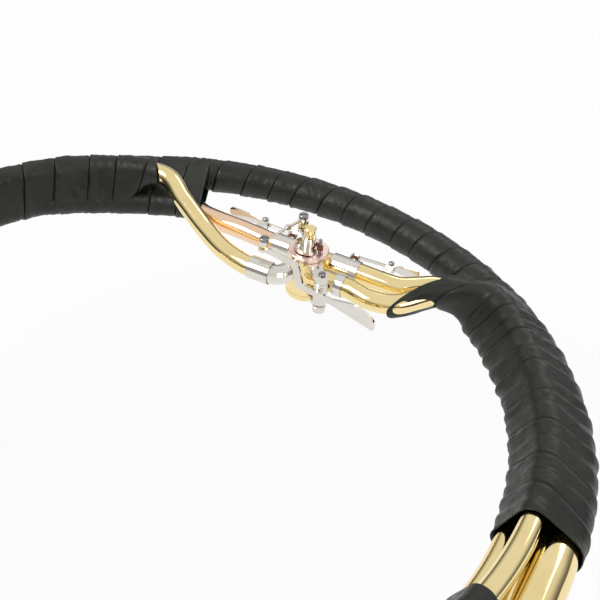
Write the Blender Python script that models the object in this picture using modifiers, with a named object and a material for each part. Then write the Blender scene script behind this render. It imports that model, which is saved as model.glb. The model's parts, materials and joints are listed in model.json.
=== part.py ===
"""Hunting horn in B flat and E flat: a leather wrapped coil with a changeover rotary valve.

The horn is laid out from the centre of its coil: the coil lies in the plane z = 0, the valve's axis
is parallel to +Z and X runs along the valve's tubes. The air goes round clockwise, seen from +Z:
mouthpipe, valve, one turn, bell. The bell and the mouthpipe both leave the coil towards -Y.
Angles on the coil are in degrees from +X, counter-clockwise, and go on below zero for later turns.
Last, the finished horn moves so that the origin is the middle of the box round it.
"""
import math

import bmesh
import bpy
import numpy as np
from mathutils import Matrix, Vector

MM = 0.001

# Coil and tubing
COIL_RADIUS = 230.0 * MM          # centre line of the outermost tube
TUBE_RADIUS = 6.5 * MM            # outside of the cylindrical tubing
TUBE_WALL = 0.5 * MM
BRANCH_RADIUS = 13.4 * MM         # outside of the main tube where the bell branch leaves the coil
TAPER_START = -180.0              # coil angle at which the main tube begins to widen
TAPER_END = -360.0
GAP = 0.3 * MM                    # between pieces that touch
SQUARE_END = 1.2 * MM             # straight length at a tube's end, so that it is cut square

# How the inner tubes sit against the outermost one: direction from it, and spare room
FRONT_SEAT_LEFT = 50.0
FRONT_SEAT_RIGHT = 49.0
LOOP_SEAT_LEFT = -31.0
LOOP_SEAT_RIGHT = -5.0
SEAT_SPARE = 1.2 * MM
LOOP_SPARE = 3.0 * MM

# Mouthpipe and mouthpiece
MOUTHPIPE_STRAIGHT = 165.0 * MM
MOUTHPIPE_LIFT = 17.0 * MM        # height of the mouthpipe above the coil's plane
MOUTHPIPE_OUTSET = 2.0 * MM       # how far outside the coil's centre line it leaves
MOUTHPIPE_TIP_RADIUS = 5.4 * MM
MOUTHPIPE_FERRULE_AT = 72.0 * MM
RECEIVER_LENGTH = 32.0 * MM
RECEIVER_RADIUS = 7.2 * MM
SHANK_RADIUS = 4.0 * MM
SHANK_TIP_RADIUS = 3.6 * MM
SHANK_IN_RECEIVER = 20.0 * MM
MOUTHPIECE_LENGTH = 66.0 * MM
MOUTHPIECE_RIM_RADIUS = 12.6 * MM
MOUTHPIECE_CUP_RADIUS = 8.8 * MM
MOUTHPIECE_BORE_RADIUS = 2.0 * MM

# Bell
BELL_RADIUS = 138.0 * MM
BELL_LENGTH = 420.0 * MM
BELL_WALL = 0.8 * MM
BELL_FLARE = 0.75                 # exponent of the flare
BELL_BRANCH_LENGTH = 46.0 * MM
RIM_WIRE_RADIUS = 2.0 * MM

# Ferrules
FERRULE_WALL = 0.6 * MM
FERRULE_LENGTH = 15.0 * MM
STRAIGHT_PAST = 3.0 * MM          # straight tube beyond a ferrule beside the valve

# Valve: its place, and the heights of its pieces above the coil's plane
VALVE_X = 22.8 * MM
VALVE_Y = 149.9 * MM
PORT_HEIGHT = 5.0 * MM
CASING_RADIUS = 12.5 * MM
CASING_WALL = 1.9 * MM
CASING_TOP = 14.2 * MM
CASING_BOTTOM = -11.7 * MM
CASING_ROOF = 1.6 * MM
TOP_PLATE_RADIUS = 13.0 * MM
TOP_PLATE_HEIGHT = 2.6 * MM
TOP_PLATE_RECESS = 9.3 * MM
TOP_PLATE_FLOOR = 0.8 * MM
BOTTOM_CAP_RADIUS = 12.6 * MM
BOTTOM_CAP_HEIGHT = 4.6 * MM
BACK_BEARING_HEIGHT = 3.0 * MM
ROTOR_HEIGHT = 18.6 * MM
JOURNAL_RADIUS = 3.0 * MM
SPINDLE_RADIUS = 2.6 * MM
PORT_OFFSET = 8.9 * MM            # of a port's centre line from the rotor's axis
PORT_BORE = 5.9 * MM

# Places of the ferrules beside the valve, along X from its axis
REAR_LEFT_FERRULE = -27.5 * MM
REAR_RIGHT_FERRULE = 13.4 * MM
REAR_RIGHT_FERRULE_LENGTH = 19.0 * MM
FRONT_LEFT_FERRULE = -29.4 * MM
FRONT_RIGHT_FERRULE = 24.4 * MM
FRONT_RIGHT_FERRULE_LENGTH = 6.0 * MM
FRONT_LEFT_OFFSET = 21.5 * MM     # of the front left tube from the rotor's axis, across it
ELBOW_RADIUS = 8.2 * MM

# Rotor stop and its arm
STOP_ARM_LENGTH = 15.0 * MM
STOP_ARM_ANGLE = 132.6            # at rest, half way between the stops
HUB_RADIUS = 4.3 * MM
HUB_BOTTOM = 18.0 * MM
HUB_TOP = 26.6 * MM
CAM_RADIUS = 9.0 * MM
CAM_HEIGHT = 2.4 * MM
ROTOR_SWING = 45.0                # to each side of rest
STOP_PIN_ANGLE = 15.0
STOP_PIN_AT = 7.2 * MM
STOP_PIN_RADIUS = 1.1 * MM
STOP_SLEEVE_WALL = 0.6 * MM
SPINDLE_HEAD_RADIUS = 3.9 * MM
SPINDLE_HEAD_HEIGHT = 6.4 * MM

# Link rod between the stop arm and the lever
LINK_REAR_HEIGHT = 29.8 * MM
LINK_FRONT_HEIGHT = 25.3 * MM
LINK_EYE_RADIUS = 3.2 * MM
LINK_EYE_HEIGHT = 2.6 * MM
LINK_ROD_RADIUS = 1.35 * MM
LINK_PIN_RADIUS = 1.1 * MM
SCREW_HEAD_RADIUS = 3.0 * MM
SCREW_HEAD_HEIGHT = 1.6 * MM

# Thumb lever
LEVER_PIVOT_X = 19.4 * MM         # from the rotor's axis
LEVER_PIVOT_Y = -20.2 * MM
LEVER_ANGLE = -9.5
LEVER_THICKNESS = 1.6 * MM
LEVER_ARM = 41.3 * MM             # from the pivot to the link's eye
LEVER_REACH = 43.5 * MM           # from the pivot to the tip of the paddle
LEVER_ARM_HEIGHT = 20.0 * MM
LEVER_BAR_HEIGHT = 6.0 * MM
LEVER_BAR_WIDTH = 4.4 * MM
LEVER_ARM_WIDTH = 4.0 * MM
PADDLE_START = 12.5 * MM
PADDLE_TOP = 12.6 * MM
PADDLE_BOTTOM = 0.0 * MM
BARREL_RADIUS = 4.4 * MM
BARREL_BOTTOM = -5.0 * MM
BARREL_TOP = 12.0 * MM
BRACKET_THICKNESS = 2.2 * MM
BRACKET_BLOCK = 7.6 * MM
BRACKET_BLOCK_HEIGHT = 3.9 * MM
PIVOT_RADIUS = 1.5 * MM

# Water keys, on the outer side of the rear tubes
WATER_KEY_LIFT = 1.0 * MM         # above the tubes' centre line
WATER_KEY_STANDOFF = 15.0 * MM    # of the hinge from the tubes' centre line
WATER_KEY_PLATE = 1.3 * MM
WATER_KEY_PLATE_WIDTH = 6.4 * MM
WATER_KEY_CUP_RADIUS = 3.5 * MM
WATER_KEY_CUP_DEPTH = 3.4 * MM
WATER_KEY_CUP_WALL = 0.6 * MM
WATER_KEY_KNUCKLE = 2.4 * MM
EAR_RADIUS = 2.6 * MM
NIPPLE_RADIUS = 2.2 * MM
NIPPLE_BORE = 1.1 * MM
NIPPLE_HEIGHT = 3.2 * MM

# Leather wrapping
WRAP_CLEARANCE = 1.1 * MM         # inside of the wrapping from the tubes
WRAP_LOW = 1.8 * MM               # outside of a turn where the next one covers it
WRAP_HIGH = 2.5 * MM
WRAP_STEP = 0.5 * MM              # length of the step at each edge
WRAP_SIDES = 14
TURN_LEFT = 22.0 * MM             # width of one turn, in each stretch
TURN_ARC = 20.0 * MM
TURN_RIGHT = 13.5 * MM
TURN_FRONT = 24.0 * MM

VISIBLE_SIDES = 12
HIDDEN_SIDES = 8
BORE_SIDES = 6
VISIBLE_SAG = 0.2 * MM            # of a tube's straight pieces from its true bend
HIDDEN_SAG = 0.45 * MM

PORT_PLANE = Vector((VALVE_X, VALVE_Y, PORT_HEIGHT))
BORE_RADIUS = CASING_RADIUS - CASING_WALL
FERRULE_BORE = TUBE_RADIUS + GAP


# Scene

def clear_scene():
    for obj in list(bpy.data.objects):
        bpy.data.objects.remove(obj, do_unlink=True)


def make_collection(name):
    group = bpy.data.collections.new(name)
    bpy.context.scene.collection.children.link(group)
    return group


clear_scene()
PARTS = make_collection("hunting_horn")
CUTTERS = make_collection("cutters")


def material(name, colour, roughness, metallic):
    mat = bpy.data.materials.new(name)
    mat.use_nodes = True
    shader = mat.node_tree.nodes["Principled BSDF"]
    shader.inputs["Base Color"].default_value = (*colour, 1.0)
    shader.inputs["Roughness"].default_value = roughness
    shader.inputs["Metallic"].default_value = metallic
    mat.diffuse_color = (*colour, 1.0)
    return mat


FINISHES = {
    "brass": ((0.80, 0.60, 0.26), 0.12, 1.0),
    "rose_brass": ((0.82, 0.48, 0.25), 0.14, 1.0),
    "nickel": ((0.66, 0.63, 0.58), 0.14, 1.0),
    "copper": ((0.86, 0.50, 0.42), 0.16, 1.0),
    "leather": ((0.020, 0.024, 0.017), 0.45, 0.0),
    "rubber": ((0.03, 0.02, 0.02), 0.8, 0.0),
    "cork": ((0.35, 0.12, 0.08), 0.8, 0.0),
    "steel": ((0.42, 0.40, 0.38), 0.25, 1.0),
}


def finish(obj, kind):
    obj.data.materials.append(material(f"{obj.name}_{kind}", *FINISHES[kind]))
    return obj


# Basic shapes

def add_object(name, data, group):
    obj = bpy.data.objects.new(name, data)
    group.objects.link(obj)
    if group is CUTTERS:
        obj.hide_render = True
        obj.display_type = "WIRE"
    return obj


def mesh_object(name, bm, group=PARTS):
    bmesh.ops.recalc_face_normals(bm, faces=bm.faces)
    mesh = bpy.data.meshes.new(name)
    bm.to_mesh(mesh)
    bm.free()
    mesh.shade_smooth()
    mesh.set_sharp_from_angle(angle=math.radians(40))
    return add_object(name, mesh, group)


def box(name, size, centre, turn=0.0, group=PARTS):
    bm = bmesh.new()
    bmesh.ops.create_cube(bm, size=1.0)
    bmesh.ops.scale(bm, vec=Vector(size), verts=bm.verts)
    obj = mesh_object(name, bm, group)
    obj.location = centre
    obj.rotation_euler = (0.0, 0.0, math.radians(turn))
    return obj


def rod(name, start, end, radius, sides=20, end_radius=None, group=PARTS):
    """A round bar, or a cone, from start to end."""
    start = Vector(start)
    along = Vector(end) - start
    bm = bmesh.new()
    bmesh.ops.create_cone(
        bm, cap_ends=True, segments=sides, radius1=radius,
        radius2=radius if end_radius is None else end_radius, depth=along.length)
    bmesh.ops.translate(bm, vec=(0.0, 0.0, along.length / 2), verts=bm.verts)
    obj = mesh_object(name, bm, group)
    obj.location = start
    obj.rotation_euler = along.to_track_quat("Z", "Y").to_euler()
    return obj


def turned(name, profile, place, axis=(0.0, 0.0, 1.0), steps=28, group=PARTS):
    """A profile of (radius, height) corners, outer side from top to bottom, turned about an axis."""
    mesh = bpy.data.meshes.new(name)
    corners = [(r, 0.0, h) for r, h in profile]
    edges = [(i, i + 1) for i in range(len(corners) - 1)]
    on_axis = profile[0][0] == 0.0 and profile[-1][0] == 0.0
    if not on_axis:
        edges.append((len(corners) - 1, 0))
    mesh.from_pydata(corners, edges, [])
    obj = add_object(name, mesh, group)
    screw = obj.modifiers.new("turn", "SCREW")
    screw.angle = math.tau
    screw.steps = steps
    screw.render_steps = steps
    screw.use_merge_vertices = True
    screw.merge_threshold = 0.00001
    screw.use_smooth_shade = True
    obj.location = place
    obj.rotation_euler = Vector(axis).to_track_quat("Z", "Y").to_euler()
    return obj


def swept(name, points, radii, sides, group=CUTTERS):
    """A round bar along points, as a mesh with welded caps."""
    curve = bpy.data.curves.new(name, "CURVE")
    curve.dimensions = "3D"
    curve.bevel_depth = 1.0
    curve.bevel_resolution = (sides - 4) // 2
    curve.use_fill_caps = True
    spline = curve.splines.new("POLY")
    spline.points.add(len(points) - 1)
    for point, where, radius in zip(spline.points, points, radii):
        point.co = (*where, 1.0)
        point.radius = radius
    holder = bpy.data.objects.new(name + "_curve", curve)
    bpy.context.scene.collection.objects.link(holder)
    bpy.context.view_layer.update()
    ready = holder.evaluated_get(bpy.context.evaluated_depsgraph_get())
    mesh = bpy.data.meshes.new_from_object(ready)
    bpy.data.objects.remove(holder, do_unlink=True)
    bpy.data.curves.remove(curve)
    bm = bmesh.new()
    bm.from_mesh(mesh)
    bpy.data.meshes.remove(mesh)
    bmesh.ops.remove_doubles(bm, verts=bm.verts, dist=0.000005)
    return mesh_object(name, bm, group)


def boolean(obj, other, operation, solver="EXACT"):
    step = obj.modifiers.new(other.name, "BOOLEAN")
    step.operation = operation
    step.object = other
    step.solver = solver
    return obj


def cut(obj, *others):
    for other in others:
        boolean(obj, other, "DIFFERENCE")
    return obj


def join(obj, *others):
    for other in others:
        boolean(obj, other, "UNION")
    return obj


def tube(name, points, radii, sides=VISIBLE_SIDES, bore_sides=BORE_SIDES):
    """A pipe of the common wall along points, open at both ends."""
    obj = swept(name, points, radii, sides, PARTS)
    first = points[0] + (points[0] - points[1]) * 0.5
    last = points[-1] + (points[-1] - points[-2]) * 0.5
    inner = [first, *points[1:-1], last]
    bore = swept(name + "_bore", inner, [r - TUBE_WALL for r in radii], bore_sides)
    return cut(obj, bore)


def ring(name, place, axis, bore, radius, length, steps=20, group=PARTS):
    """A plain sleeve from place along axis, with softened edges."""
    edge = min(radius - bore, length) * 0.3
    profile = [
        (radius - edge, length), (radius, length - edge), (radius, edge), (radius - edge, 0.0),
        (bore, 0.0), (bore, length)]
    return turned(name, profile, place, axis, steps, group)


def arc(centre, radius, start, end, count):
    """Points on an arc in a plane, angles in degrees."""
    return [
        (centre[0] + radius * math.cos(math.radians(a)), centre[1] + radius * math.sin(math.radians(a)))
        for a in np.linspace(start, end, count)]


def rounded(corners, count=5):
    """An outline from (x, y, fillet) corners, each fillet an arc of count points."""
    outline = []
    total = len(corners)
    for i, (x, y, fillet) in enumerate(corners):
        here = Vector((x, y))
        before = (Vector(corners[i - 1][:2]) - here).normalized()
        after = (Vector(corners[(i + 1) % total][:2]) - here).normalized()
        half = before.angle(after) / 2
        reach = fillet / math.tan(half)
        middle = here + (before + after).normalized() * (fillet / math.sin(half))
        start = here + before * reach - middle
        swing = (here + after * reach - middle).angle_signed(start)
        for k in range(count):
            outline.append(middle + Matrix.Rotation(swing * k / (count - 1), 2) @ start)
    return outline


def plate(name, outline, thickness, group=PARTS):
    """A flat outline in the XY plane, extruded up from z = 0."""
    bm = bmesh.new()
    face = bm.faces.new([bm.verts.new((p[0], p[1], 0.0)) for p in outline])
    made = bmesh.ops.extrude_face_region(bm, geom=[face])
    lifted = [v for v in made["geom"] if isinstance(v, bmesh.types.BMVert)]
    bmesh.ops.translate(bm, vec=(0.0, 0.0, thickness), verts=lifted)
    return mesh_object(name, bm, group)


def carry(pivot, *objects):
    """Parent pieces to the empty on their joint's axis, where they stand."""
    for obj in objects:
        obj.parent = pivot
        obj.matrix_parent_inverse = Matrix.Translation(-pivot.location)


def pivot_empty(name, place):
    empty = bpy.data.objects.new(name, None)
    empty.empty_display_size = 0.01
    empty.location = place
    PARTS.objects.link(empty)
    return empty


# Routes of the tubes

def polar(angle, radius, height):
    a = math.radians(angle)
    return Vector((radius * math.cos(a), radius * math.sin(a), height))


def main_radius(angle):
    """Outside radius of the main tube at a coil angle of its own turn."""
    share = (TAPER_START - angle) / (TAPER_START - TAPER_END)
    return TUBE_RADIUS + (BRANCH_RADIUS - TUBE_RADIUS) * max(0.0, share)


def seat(angle, direction, spare):
    """Centre of a tube that lies against the outermost one, in a direction seen in its section."""
    reach = main_radius(angle % 360.0 - 360.0) + TUBE_RADIUS + GAP + spare
    tilt = math.radians(direction)
    return polar(angle, COIL_RADIUS - reach * math.cos(tilt), reach * math.sin(tilt))


def by_valve(x, y, z=0.0):
    return PORT_PLANE + Vector((x, y, z))


class Route:
    """A smooth line through points, measured by its length and by its angle on the coil."""

    def __init__(self, points, spacing=1.0 * MM):
        p = np.array(points, dtype=float)
        gaps = np.linalg.norm(np.diff(p, axis=0), axis=1) ** 0.5
        t = np.concatenate([[0.0], np.cumsum(gaps)])
        slopes = np.zeros_like(p)
        for i in range(1, len(p) - 1):
            left = (p[i] - p[i - 1]) / (t[i] - t[i - 1])
            right = (p[i + 1] - p[i]) / (t[i + 1] - t[i])
            slopes[i] = (left * (t[i + 1] - t[i]) + right * (t[i] - t[i - 1])) / (t[i + 1] - t[i - 1])
        slopes[0] = (p[1] - p[0]) / (t[1] - t[0])
        slopes[-1] = (p[-1] - p[-2]) / (t[-1] - t[-2])
        dense = []
        for i in range(len(p) - 1):
            span = t[i + 1] - t[i]
            for u in np.linspace(0.0, 1.0, 60, endpoint=False):
                dense.append(
                    p[i] * (2 * u**3 - 3 * u**2 + 1) + slopes[i] * span * (u**3 - 2 * u**2 + u)
                    + p[i + 1] * (3 * u**2 - 2 * u**3) + slopes[i + 1] * span * (u**3 - u**2))
        dense.append(p[-1])
        dense = np.array(dense)
        length = np.concatenate([[0.0], np.cumsum(np.linalg.norm(np.diff(dense, axis=0), axis=1))])
        count = int(length[-1] / spacing) + 1
        self.at = np.linspace(0.0, length[-1], count)
        self.points = np.stack([np.interp(self.at, length, dense[:, k]) for k in range(3)], 1)
        turn = np.unwrap(np.arctan2(self.points[:, 1], self.points[:, 0]))
        self.angle = np.degrees(turn)
        self.length = length[-1]

    def point(self, at):
        return Vector([np.interp(at, self.at, self.points[:, k]) for k in range(3)])

    def when(self, angle):
        """Length at which the route passes a coil angle, on its way round clockwise."""
        return float(np.interp(-angle, -self.angle, self.at))

    def angle_at(self, at):
        return float(np.interp(at, self.at, self.angle))

    def across(self, angle):
        """Centre (radius, height) where the route crosses a coil angle, and its slopes there."""
        at = self.when(angle)
        here = self.point(at)
        ahead = (self.point(at + 2 * MM) - self.point(at - 2 * MM)).normalized()
        outward = Vector((here.x, here.y, 0.0)).normalized()
        round_coil = Vector((outward.y, -outward.x, 0.0))
        pace = max(0.35, abs(ahead.dot(round_coil)))
        return math.hypot(here.x, here.y), here.z, ahead.dot(outward) / pace, ahead.z / pace

    def sag(self, start, end):
        """How far the route leaves the straight line between two of its points."""
        first = np.array(self.point(start))
        along = np.array(self.point(end)) - first
        along /= np.linalg.norm(along)
        inside = self.points[(self.at > start) & (self.at < end)] - first
        return float(np.max(np.linalg.norm(np.cross(inside, along), axis=1)))

    def stretch(self, start, end, sag):
        """Points from start to end, as far apart as the sag between them allows."""
        stations = [start, start + SQUARE_END]
        last = end - SQUARE_END
        while stations[-1] < last:
            ahead = stations[-1] + 3 * MM
            while ahead < last and self.sag(stations[-1], ahead + MM) < sag:
                ahead += MM
            stations.append(min(ahead, last))
        stations.append(end)
        return [self.point(s) for s in stations], stations


def beside_valve(ferrule_edge, across):
    """The straight stretch of a tube from the rotor's axis out past a ferrule's outer edge."""
    past = math.copysign(STRAIGHT_PAST, ferrule_edge)
    return [by_valve(x, across) for x in (0.0, ferrule_edge - past / 2, ferrule_edge + past)]


def coil_point(angle, inset, lift):
    return polar(angle, COIL_RADIUS - inset, lift)


def inlet_route():
    """From the mouthpipe's tip to the valve's front left port."""
    out = COIL_RADIUS + MOUTHPIPE_OUTSET
    lead = [Vector((-out, -MOUTHPIPE_STRAIGHT * s, MOUTHPIPE_LIFT)) for s in (1.0, 0.66, 0.33, 0.0)]
    bundle = [seat(a, FRONT_SEAT_LEFT, SEAT_SPARE) for a in (150.0, 136.0)]
    near = [(-120.5, 22.6, 12.2), (-97.5, 10.0, 7.4), (-73.0, -3.6, 1.6), (-52.0, -15.2, 0.0)]
    bends = [by_valve(x * MM, y * MM, z * MM) for x, y, z in near]
    return Route([*lead, *bundle, *bends, *beside_valve(FRONT_LEFT_FERRULE, -FRONT_LEFT_OFFSET)[::-1]])


def main_route():
    """From the valve's front right port, once round, to the end of the bell branch."""
    ferrule_end = FRONT_RIGHT_FERRULE + FRONT_RIGHT_FERRULE_LENGTH
    start = beside_valve(ferrule_end, -PORT_OFFSET)
    near = [(49.5, -12.3, 0.0), (64.8, -8.4, 0.4), (76.2, 1.2, 3.0), (87.4, 8.8, 6.8)]
    bends = [by_valve(x * MM, y * MM, z * MM) for x, y, z in near]
    bundle = [seat(a, FRONT_SEAT_RIGHT, SEAT_SPARE) for a in (50.0, 42.0, 28.0, 14.0, 0.0)]
    last = bundle[-1]
    inset, lift = COIL_RADIUS - last.x, last.z
    crossing = []
    for angle in range(-15, -180, -15):
        share = max(0.0, 1.0 - (angle + 15.0) / -105.0)
        ease = share * share * (3.0 - 2.0 * share)
        crossing.append(coil_point(angle, inset * ease, lift * ease))
    outer = [coil_point(angle, 0.0, 0.0) for angle in range(-180, -361, -12)]
    branch = [Vector((COIL_RADIUS, -BELL_BRANCH_LENGTH * s, 0.0)) for s in (0.4, 0.7, 1.0)]
    return Route([*start, *bends, *bundle, *crossing, *outer, *branch])


def loop_route():
    """The valve loop, from the rear right port once round to the rear left port."""
    ferrule_end = REAR_RIGHT_FERRULE + REAR_RIGHT_FERRULE_LENGTH
    start = beside_valve(ferrule_end, PORT_OFFSET)
    near = [(47.0, 8.6, 0.0), (60.0, 9.6, 0.0), (70.3, 16.4, 0.0), (80.0, 22.6, 0.0), (91.0, 23.0, -1.0)]
    bends = [by_valve(x * MM, y * MM, z * MM) for x, y, z in near]
    right = [seat(a, LOOP_SEAT_RIGHT, LOOP_SPARE) for a in (51.0, 44.0, 30.0, 15.0, 0.0)]
    last = right[-1]
    first = seat(-180.0, LOOP_SEAT_LEFT, LOOP_SPARE)
    inset = (COIL_RADIUS - last.x, COIL_RADIUS + first.x)
    lift = (last.z, first.z)
    front = []
    for angle in range(-15, -180, -15):
        share = angle / -180.0
        ease = share * share * (3.0 - 2.0 * share)
        front.append(coil_point(
            angle, inset[0] + (inset[1] - inset[0]) * ease, lift[0] + (lift[1] - lift[0]) * ease))
    left = [seat(a, LOOP_SEAT_LEFT, LOOP_SPARE) for a in (-180.0, -195.0, -210.0, -220.0)]
    home = [(-103.0, 26.0, -8.5), (-83.0, 17.4, -4.0), (-67.0, 12.8, -1.2), (-50.0, 10.5, 0.0)]
    back = [by_valve(x * MM, y * MM, z * MM) for x, y, z in home]
    end = beside_valve(REAR_LEFT_FERRULE, PORT_OFFSET)[::-1]
    return Route([*start, *bends, *right, *front, *left, *back, *end])


INLET = inlet_route()
MAIN = main_route()
LOOP = loop_route()


def pipe(name, route, start, end, sag, kind, radius=None, sides=VISIBLE_SIDES, bore_sides=BORE_SIDES):
    """One tube of a route, between two lengths along it."""
    points, stations = route.stretch(start, end, sag)
    radii = [TUBE_RADIUS if radius is None else radius(s) for s in stations]
    return finish(tube(name, points, radii, sides, bore_sides), kind)


# Tubes of the coil

def build_mouthpipe():
    ferrule_at = MOUTHPIPE_STRAIGHT - MOUTHPIPE_FERRULE_AT
    joint = ferrule_at + FERRULE_LENGTH / 2

    def taper(at):
        return MOUTHPIPE_TIP_RADIUS + (TUBE_RADIUS - MOUTHPIPE_TIP_RADIUS) * min(1.0, at / ferrule_at)

    inside = RECEIVER_LENGTH / 2
    pipe("mouthpipe", INLET, inside, joint - GAP / 2, VISIBLE_SAG, "brass", taper)
    along = Vector((0.0, 1.0, 0.0))
    finish(ring("mouthpipe_ferrule", INLET.point(ferrule_at), along, FERRULE_BORE,
                FERRULE_BORE + FERRULE_WALL, FERRULE_LENGTH), "nickel")
    tip = INLET.point(0.0)
    seat_depth = SHANK_IN_RECEIVER + 2 * GAP
    slack = 2 * GAP
    socket = taper(RECEIVER_LENGTH) + GAP * 1.2
    lip = RECEIVER_RADIUS + 1.0 * MM
    bead = 3.0 * MM
    shoulder = RECEIVER_LENGTH / 2 - GAP
    profile = [
        (RECEIVER_RADIUS, RECEIVER_LENGTH), (RECEIVER_RADIUS, bead + 1.0 * MM), (lip, bead), (lip, 0.0),
        (SHANK_RADIUS + slack, 0.0), (SHANK_TIP_RADIUS + slack, shoulder), (socket, shoulder),
        (socket, RECEIVER_LENGTH)]
    profile[5] = (SHANK_TIP_RADIUS + slack, min(shoulder, seat_depth))
    finish(turned("mouthpiece_receiver", profile, tip, along), "nickel")
    return joint


def build_coil_tubes(joint):
    left_end = INLET.length + FRONT_LEFT_FERRULE + FERRULE_LENGTH / 2
    pipe("front_left_tube", INLET, joint + GAP / 2, left_end, VISIBLE_SAG, "brass")

    right_start = FRONT_RIGHT_FERRULE + FRONT_RIGHT_FERRULE_LENGTH / 2 + GAP / 2
    into_wrap = MAIN.when(40.0)
    pipe("front_right_tube", MAIN, right_start, into_wrap, VISIBLE_SAG, "brass")
    half = MAIN.when(-178.0)
    pipe("main_bow_front", MAIN, into_wrap + GAP, half, HIDDEN_SAG, "brass", sides=HIDDEN_SIDES)

    def widening(at):
        return main_radius(MAIN.angle_at(at))

    third = MAIN.when(-345.0)
    pipe("main_bow_rear", MAIN, half + GAP, third, HIDDEN_SAG, "brass", widening, sides=HIDDEN_SIDES)

    def branch(at):
        beyond = max(0.0, at - MAIN.when(-359.9))
        growth = (BRANCH_RADIUS - TUBE_RADIUS) / math.radians(TAPER_START - TAPER_END) / COIL_RADIUS
        return main_radius(max(MAIN.angle_at(at), -360.0)) + beyond * growth

    pipe("bell_branch", MAIN, third + GAP, MAIN.length, VISIBLE_SAG, "brass", branch, sides=16, bore_sides=8)

    rear_start = REAR_RIGHT_FERRULE + REAR_RIGHT_FERRULE_LENGTH / 2 + GAP / 2
    wrap_in = LOOP.when(40.0)
    pipe("rear_right_tube", LOOP, rear_start, wrap_in, VISIBLE_SAG, "brass")
    wrap_out = LOOP.when(-230.0)
    pipe("loop_bow", LOOP, wrap_in + GAP, wrap_out, HIDDEN_SAG, "brass", sides=HIDDEN_SIDES)
    rear_end = LOOP.length + REAR_LEFT_FERRULE + FERRULE_LENGTH / 2
    pipe("rear_left_tube", LOOP, wrap_out + GAP, rear_end, VISIBLE_SAG, "rose_brass")
    return branch(MAIN.length)


def build_mouthpiece():
    tip = INLET.point(0.0)
    depth = SHANK_IN_RECEIVER
    out = MOUTHPIECE_LENGTH - depth
    rim = MOUTHPIECE_RIM_RADIUS
    cup = MOUTHPIECE_CUP_RADIUS
    neck = SHANK_RADIUS
    flare = SHANK_RADIUS + 2.2 * MM
    profile = [
        (cup + 0.3 * (rim - cup), -out), (cup, -out + 1.2 * MM), (0.72 * cup, -0.72 * out),
        (MOUTHPIECE_BORE_RADIUS, -0.12 * out), (MOUTHPIECE_BORE_RADIUS, 0.3 * depth),
        (0.8 * SHANK_TIP_RADIUS, depth), (SHANK_TIP_RADIUS, depth), (neck, 0.0), (neck, -0.08 * out),
        (flare, -0.3 * out), (0.78 * rim, -0.72 * out), (0.84 * rim, -0.86 * out),
        (rim, -0.92 * out), (rim, -out + 1.0 * MM), (rim - 1.0 * MM, -out)]
    piece = turned("mouthpiece", profile, tip, (0.0, 1.0, 0.0), steps=24)
    finish(piece, "nickel")
    carry(pivot_empty("mouthpiece_slide", tip), piece)


# Bell

def bell_profile(throat):
    """Radii of the flare from the throat to the rim, closer together towards the rim."""
    start = BELL_LENGTH / ((BELL_RADIUS / throat) ** (1.0 / BELL_FLARE) - 1.0)
    profile = []
    for u in np.linspace(0.0, 1.0, 11):
        to_rim = BELL_LENGTH * (1.0 - u) ** 1.9
        radius = BELL_RADIUS * ((start + to_rim) / start) ** -BELL_FLARE
        profile.append((radius, BELL_LENGTH - to_rim))
    return profile


def build_bell(throat):
    mouth = Vector((COIL_RADIUS, -BELL_BRANCH_LENGTH, 0.0))
    towards = Vector((0.0, -1.0, 0.0))
    start = mouth + towards * GAP
    profile = bell_profile(throat)[::-1]
    mesh = bpy.data.meshes.new("bell")
    corners = [(r, 0.0, h) for r, h in profile]
    mesh.from_pydata(corners, [(i, i + 1) for i in range(len(corners) - 1)], [])
    bell = add_object("bell", mesh, PARTS)
    screw = bell.modifiers.new("turn", "SCREW")
    screw.angle = math.tau
    screw.steps = 32
    screw.render_steps = 32
    screw.use_merge_vertices = True
    screw.merge_threshold = 0.00001
    screw.use_smooth_shade = True
    wall = bell.modifiers.new("wall", "SOLIDIFY")
    wall.thickness = BELL_WALL
    wall.offset = -1.0
    wall.use_even_offset = True
    bell.location = start
    bell.rotation_euler = towards.to_track_quat("Z", "Y").to_euler()
    finish(bell, "brass")

    collar = throat + GAP * 1.5
    finish(ring("bell_ferrule", mouth - towards * FERRULE_LENGTH / 2, towards, collar,
                collar + FERRULE_WALL, FERRULE_LENGTH), "nickel")

    middle = BELL_RADIUS + RIM_WIRE_RADIUS + GAP * 1.5
    bead = [
        (x, y) for x, y in arc((middle, 0.0), RIM_WIRE_RADIUS, 90.0, -210.0, 6)]
    wire = turned("bell_rim_wire", bead, start + towards * BELL_LENGTH, towards, steps=32)
    finish(wire, "brass")


# Wrapping

def wrap_corner(tubes, angle, k, skin):
    """Where two neighbouring flats of the skin round a bundle meet: its radius and height."""
    step = math.tau / WRAP_SIDES
    facing = np.array([k, k + 1]) * step
    flats = np.full(2, -COIL_RADIUS * 2)
    for route, turn in tubes:
        radius, height, outward, upward = route.across(angle + turn)
        size = main_radius(angle + turn) if route is MAIN else TUBE_RADIUS
        oval = size * np.hypot(1.0, outward * np.cos(facing) + upward * np.sin(facing))
        flats = np.maximum(flats, radius * np.cos(facing) + height * np.sin(facing) + oval + skin)
    across = flats[0] * math.sin(facing[1]) - flats[1] * math.sin(facing[0])
    up = flats[1] * math.cos(facing[0]) - flats[0] * math.cos(facing[1])
    return across / math.sin(step), up / math.sin(step)


def wrap_ring(bm, tubes, angle, skin, lean):
    """One ring of points round the bundle, leaning along the coil from its inner to its outer side."""
    corners = []
    for k in range(WRAP_SIDES):
        direction = math.tau * (k + 0.5) / WRAP_SIDES
        here = angle + lean * math.cos(direction - math.radians(60.0))
        corners.append(bm.verts.new(polar(here, *wrap_corner(tubes, here, k, skin))))
    return corners


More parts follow.
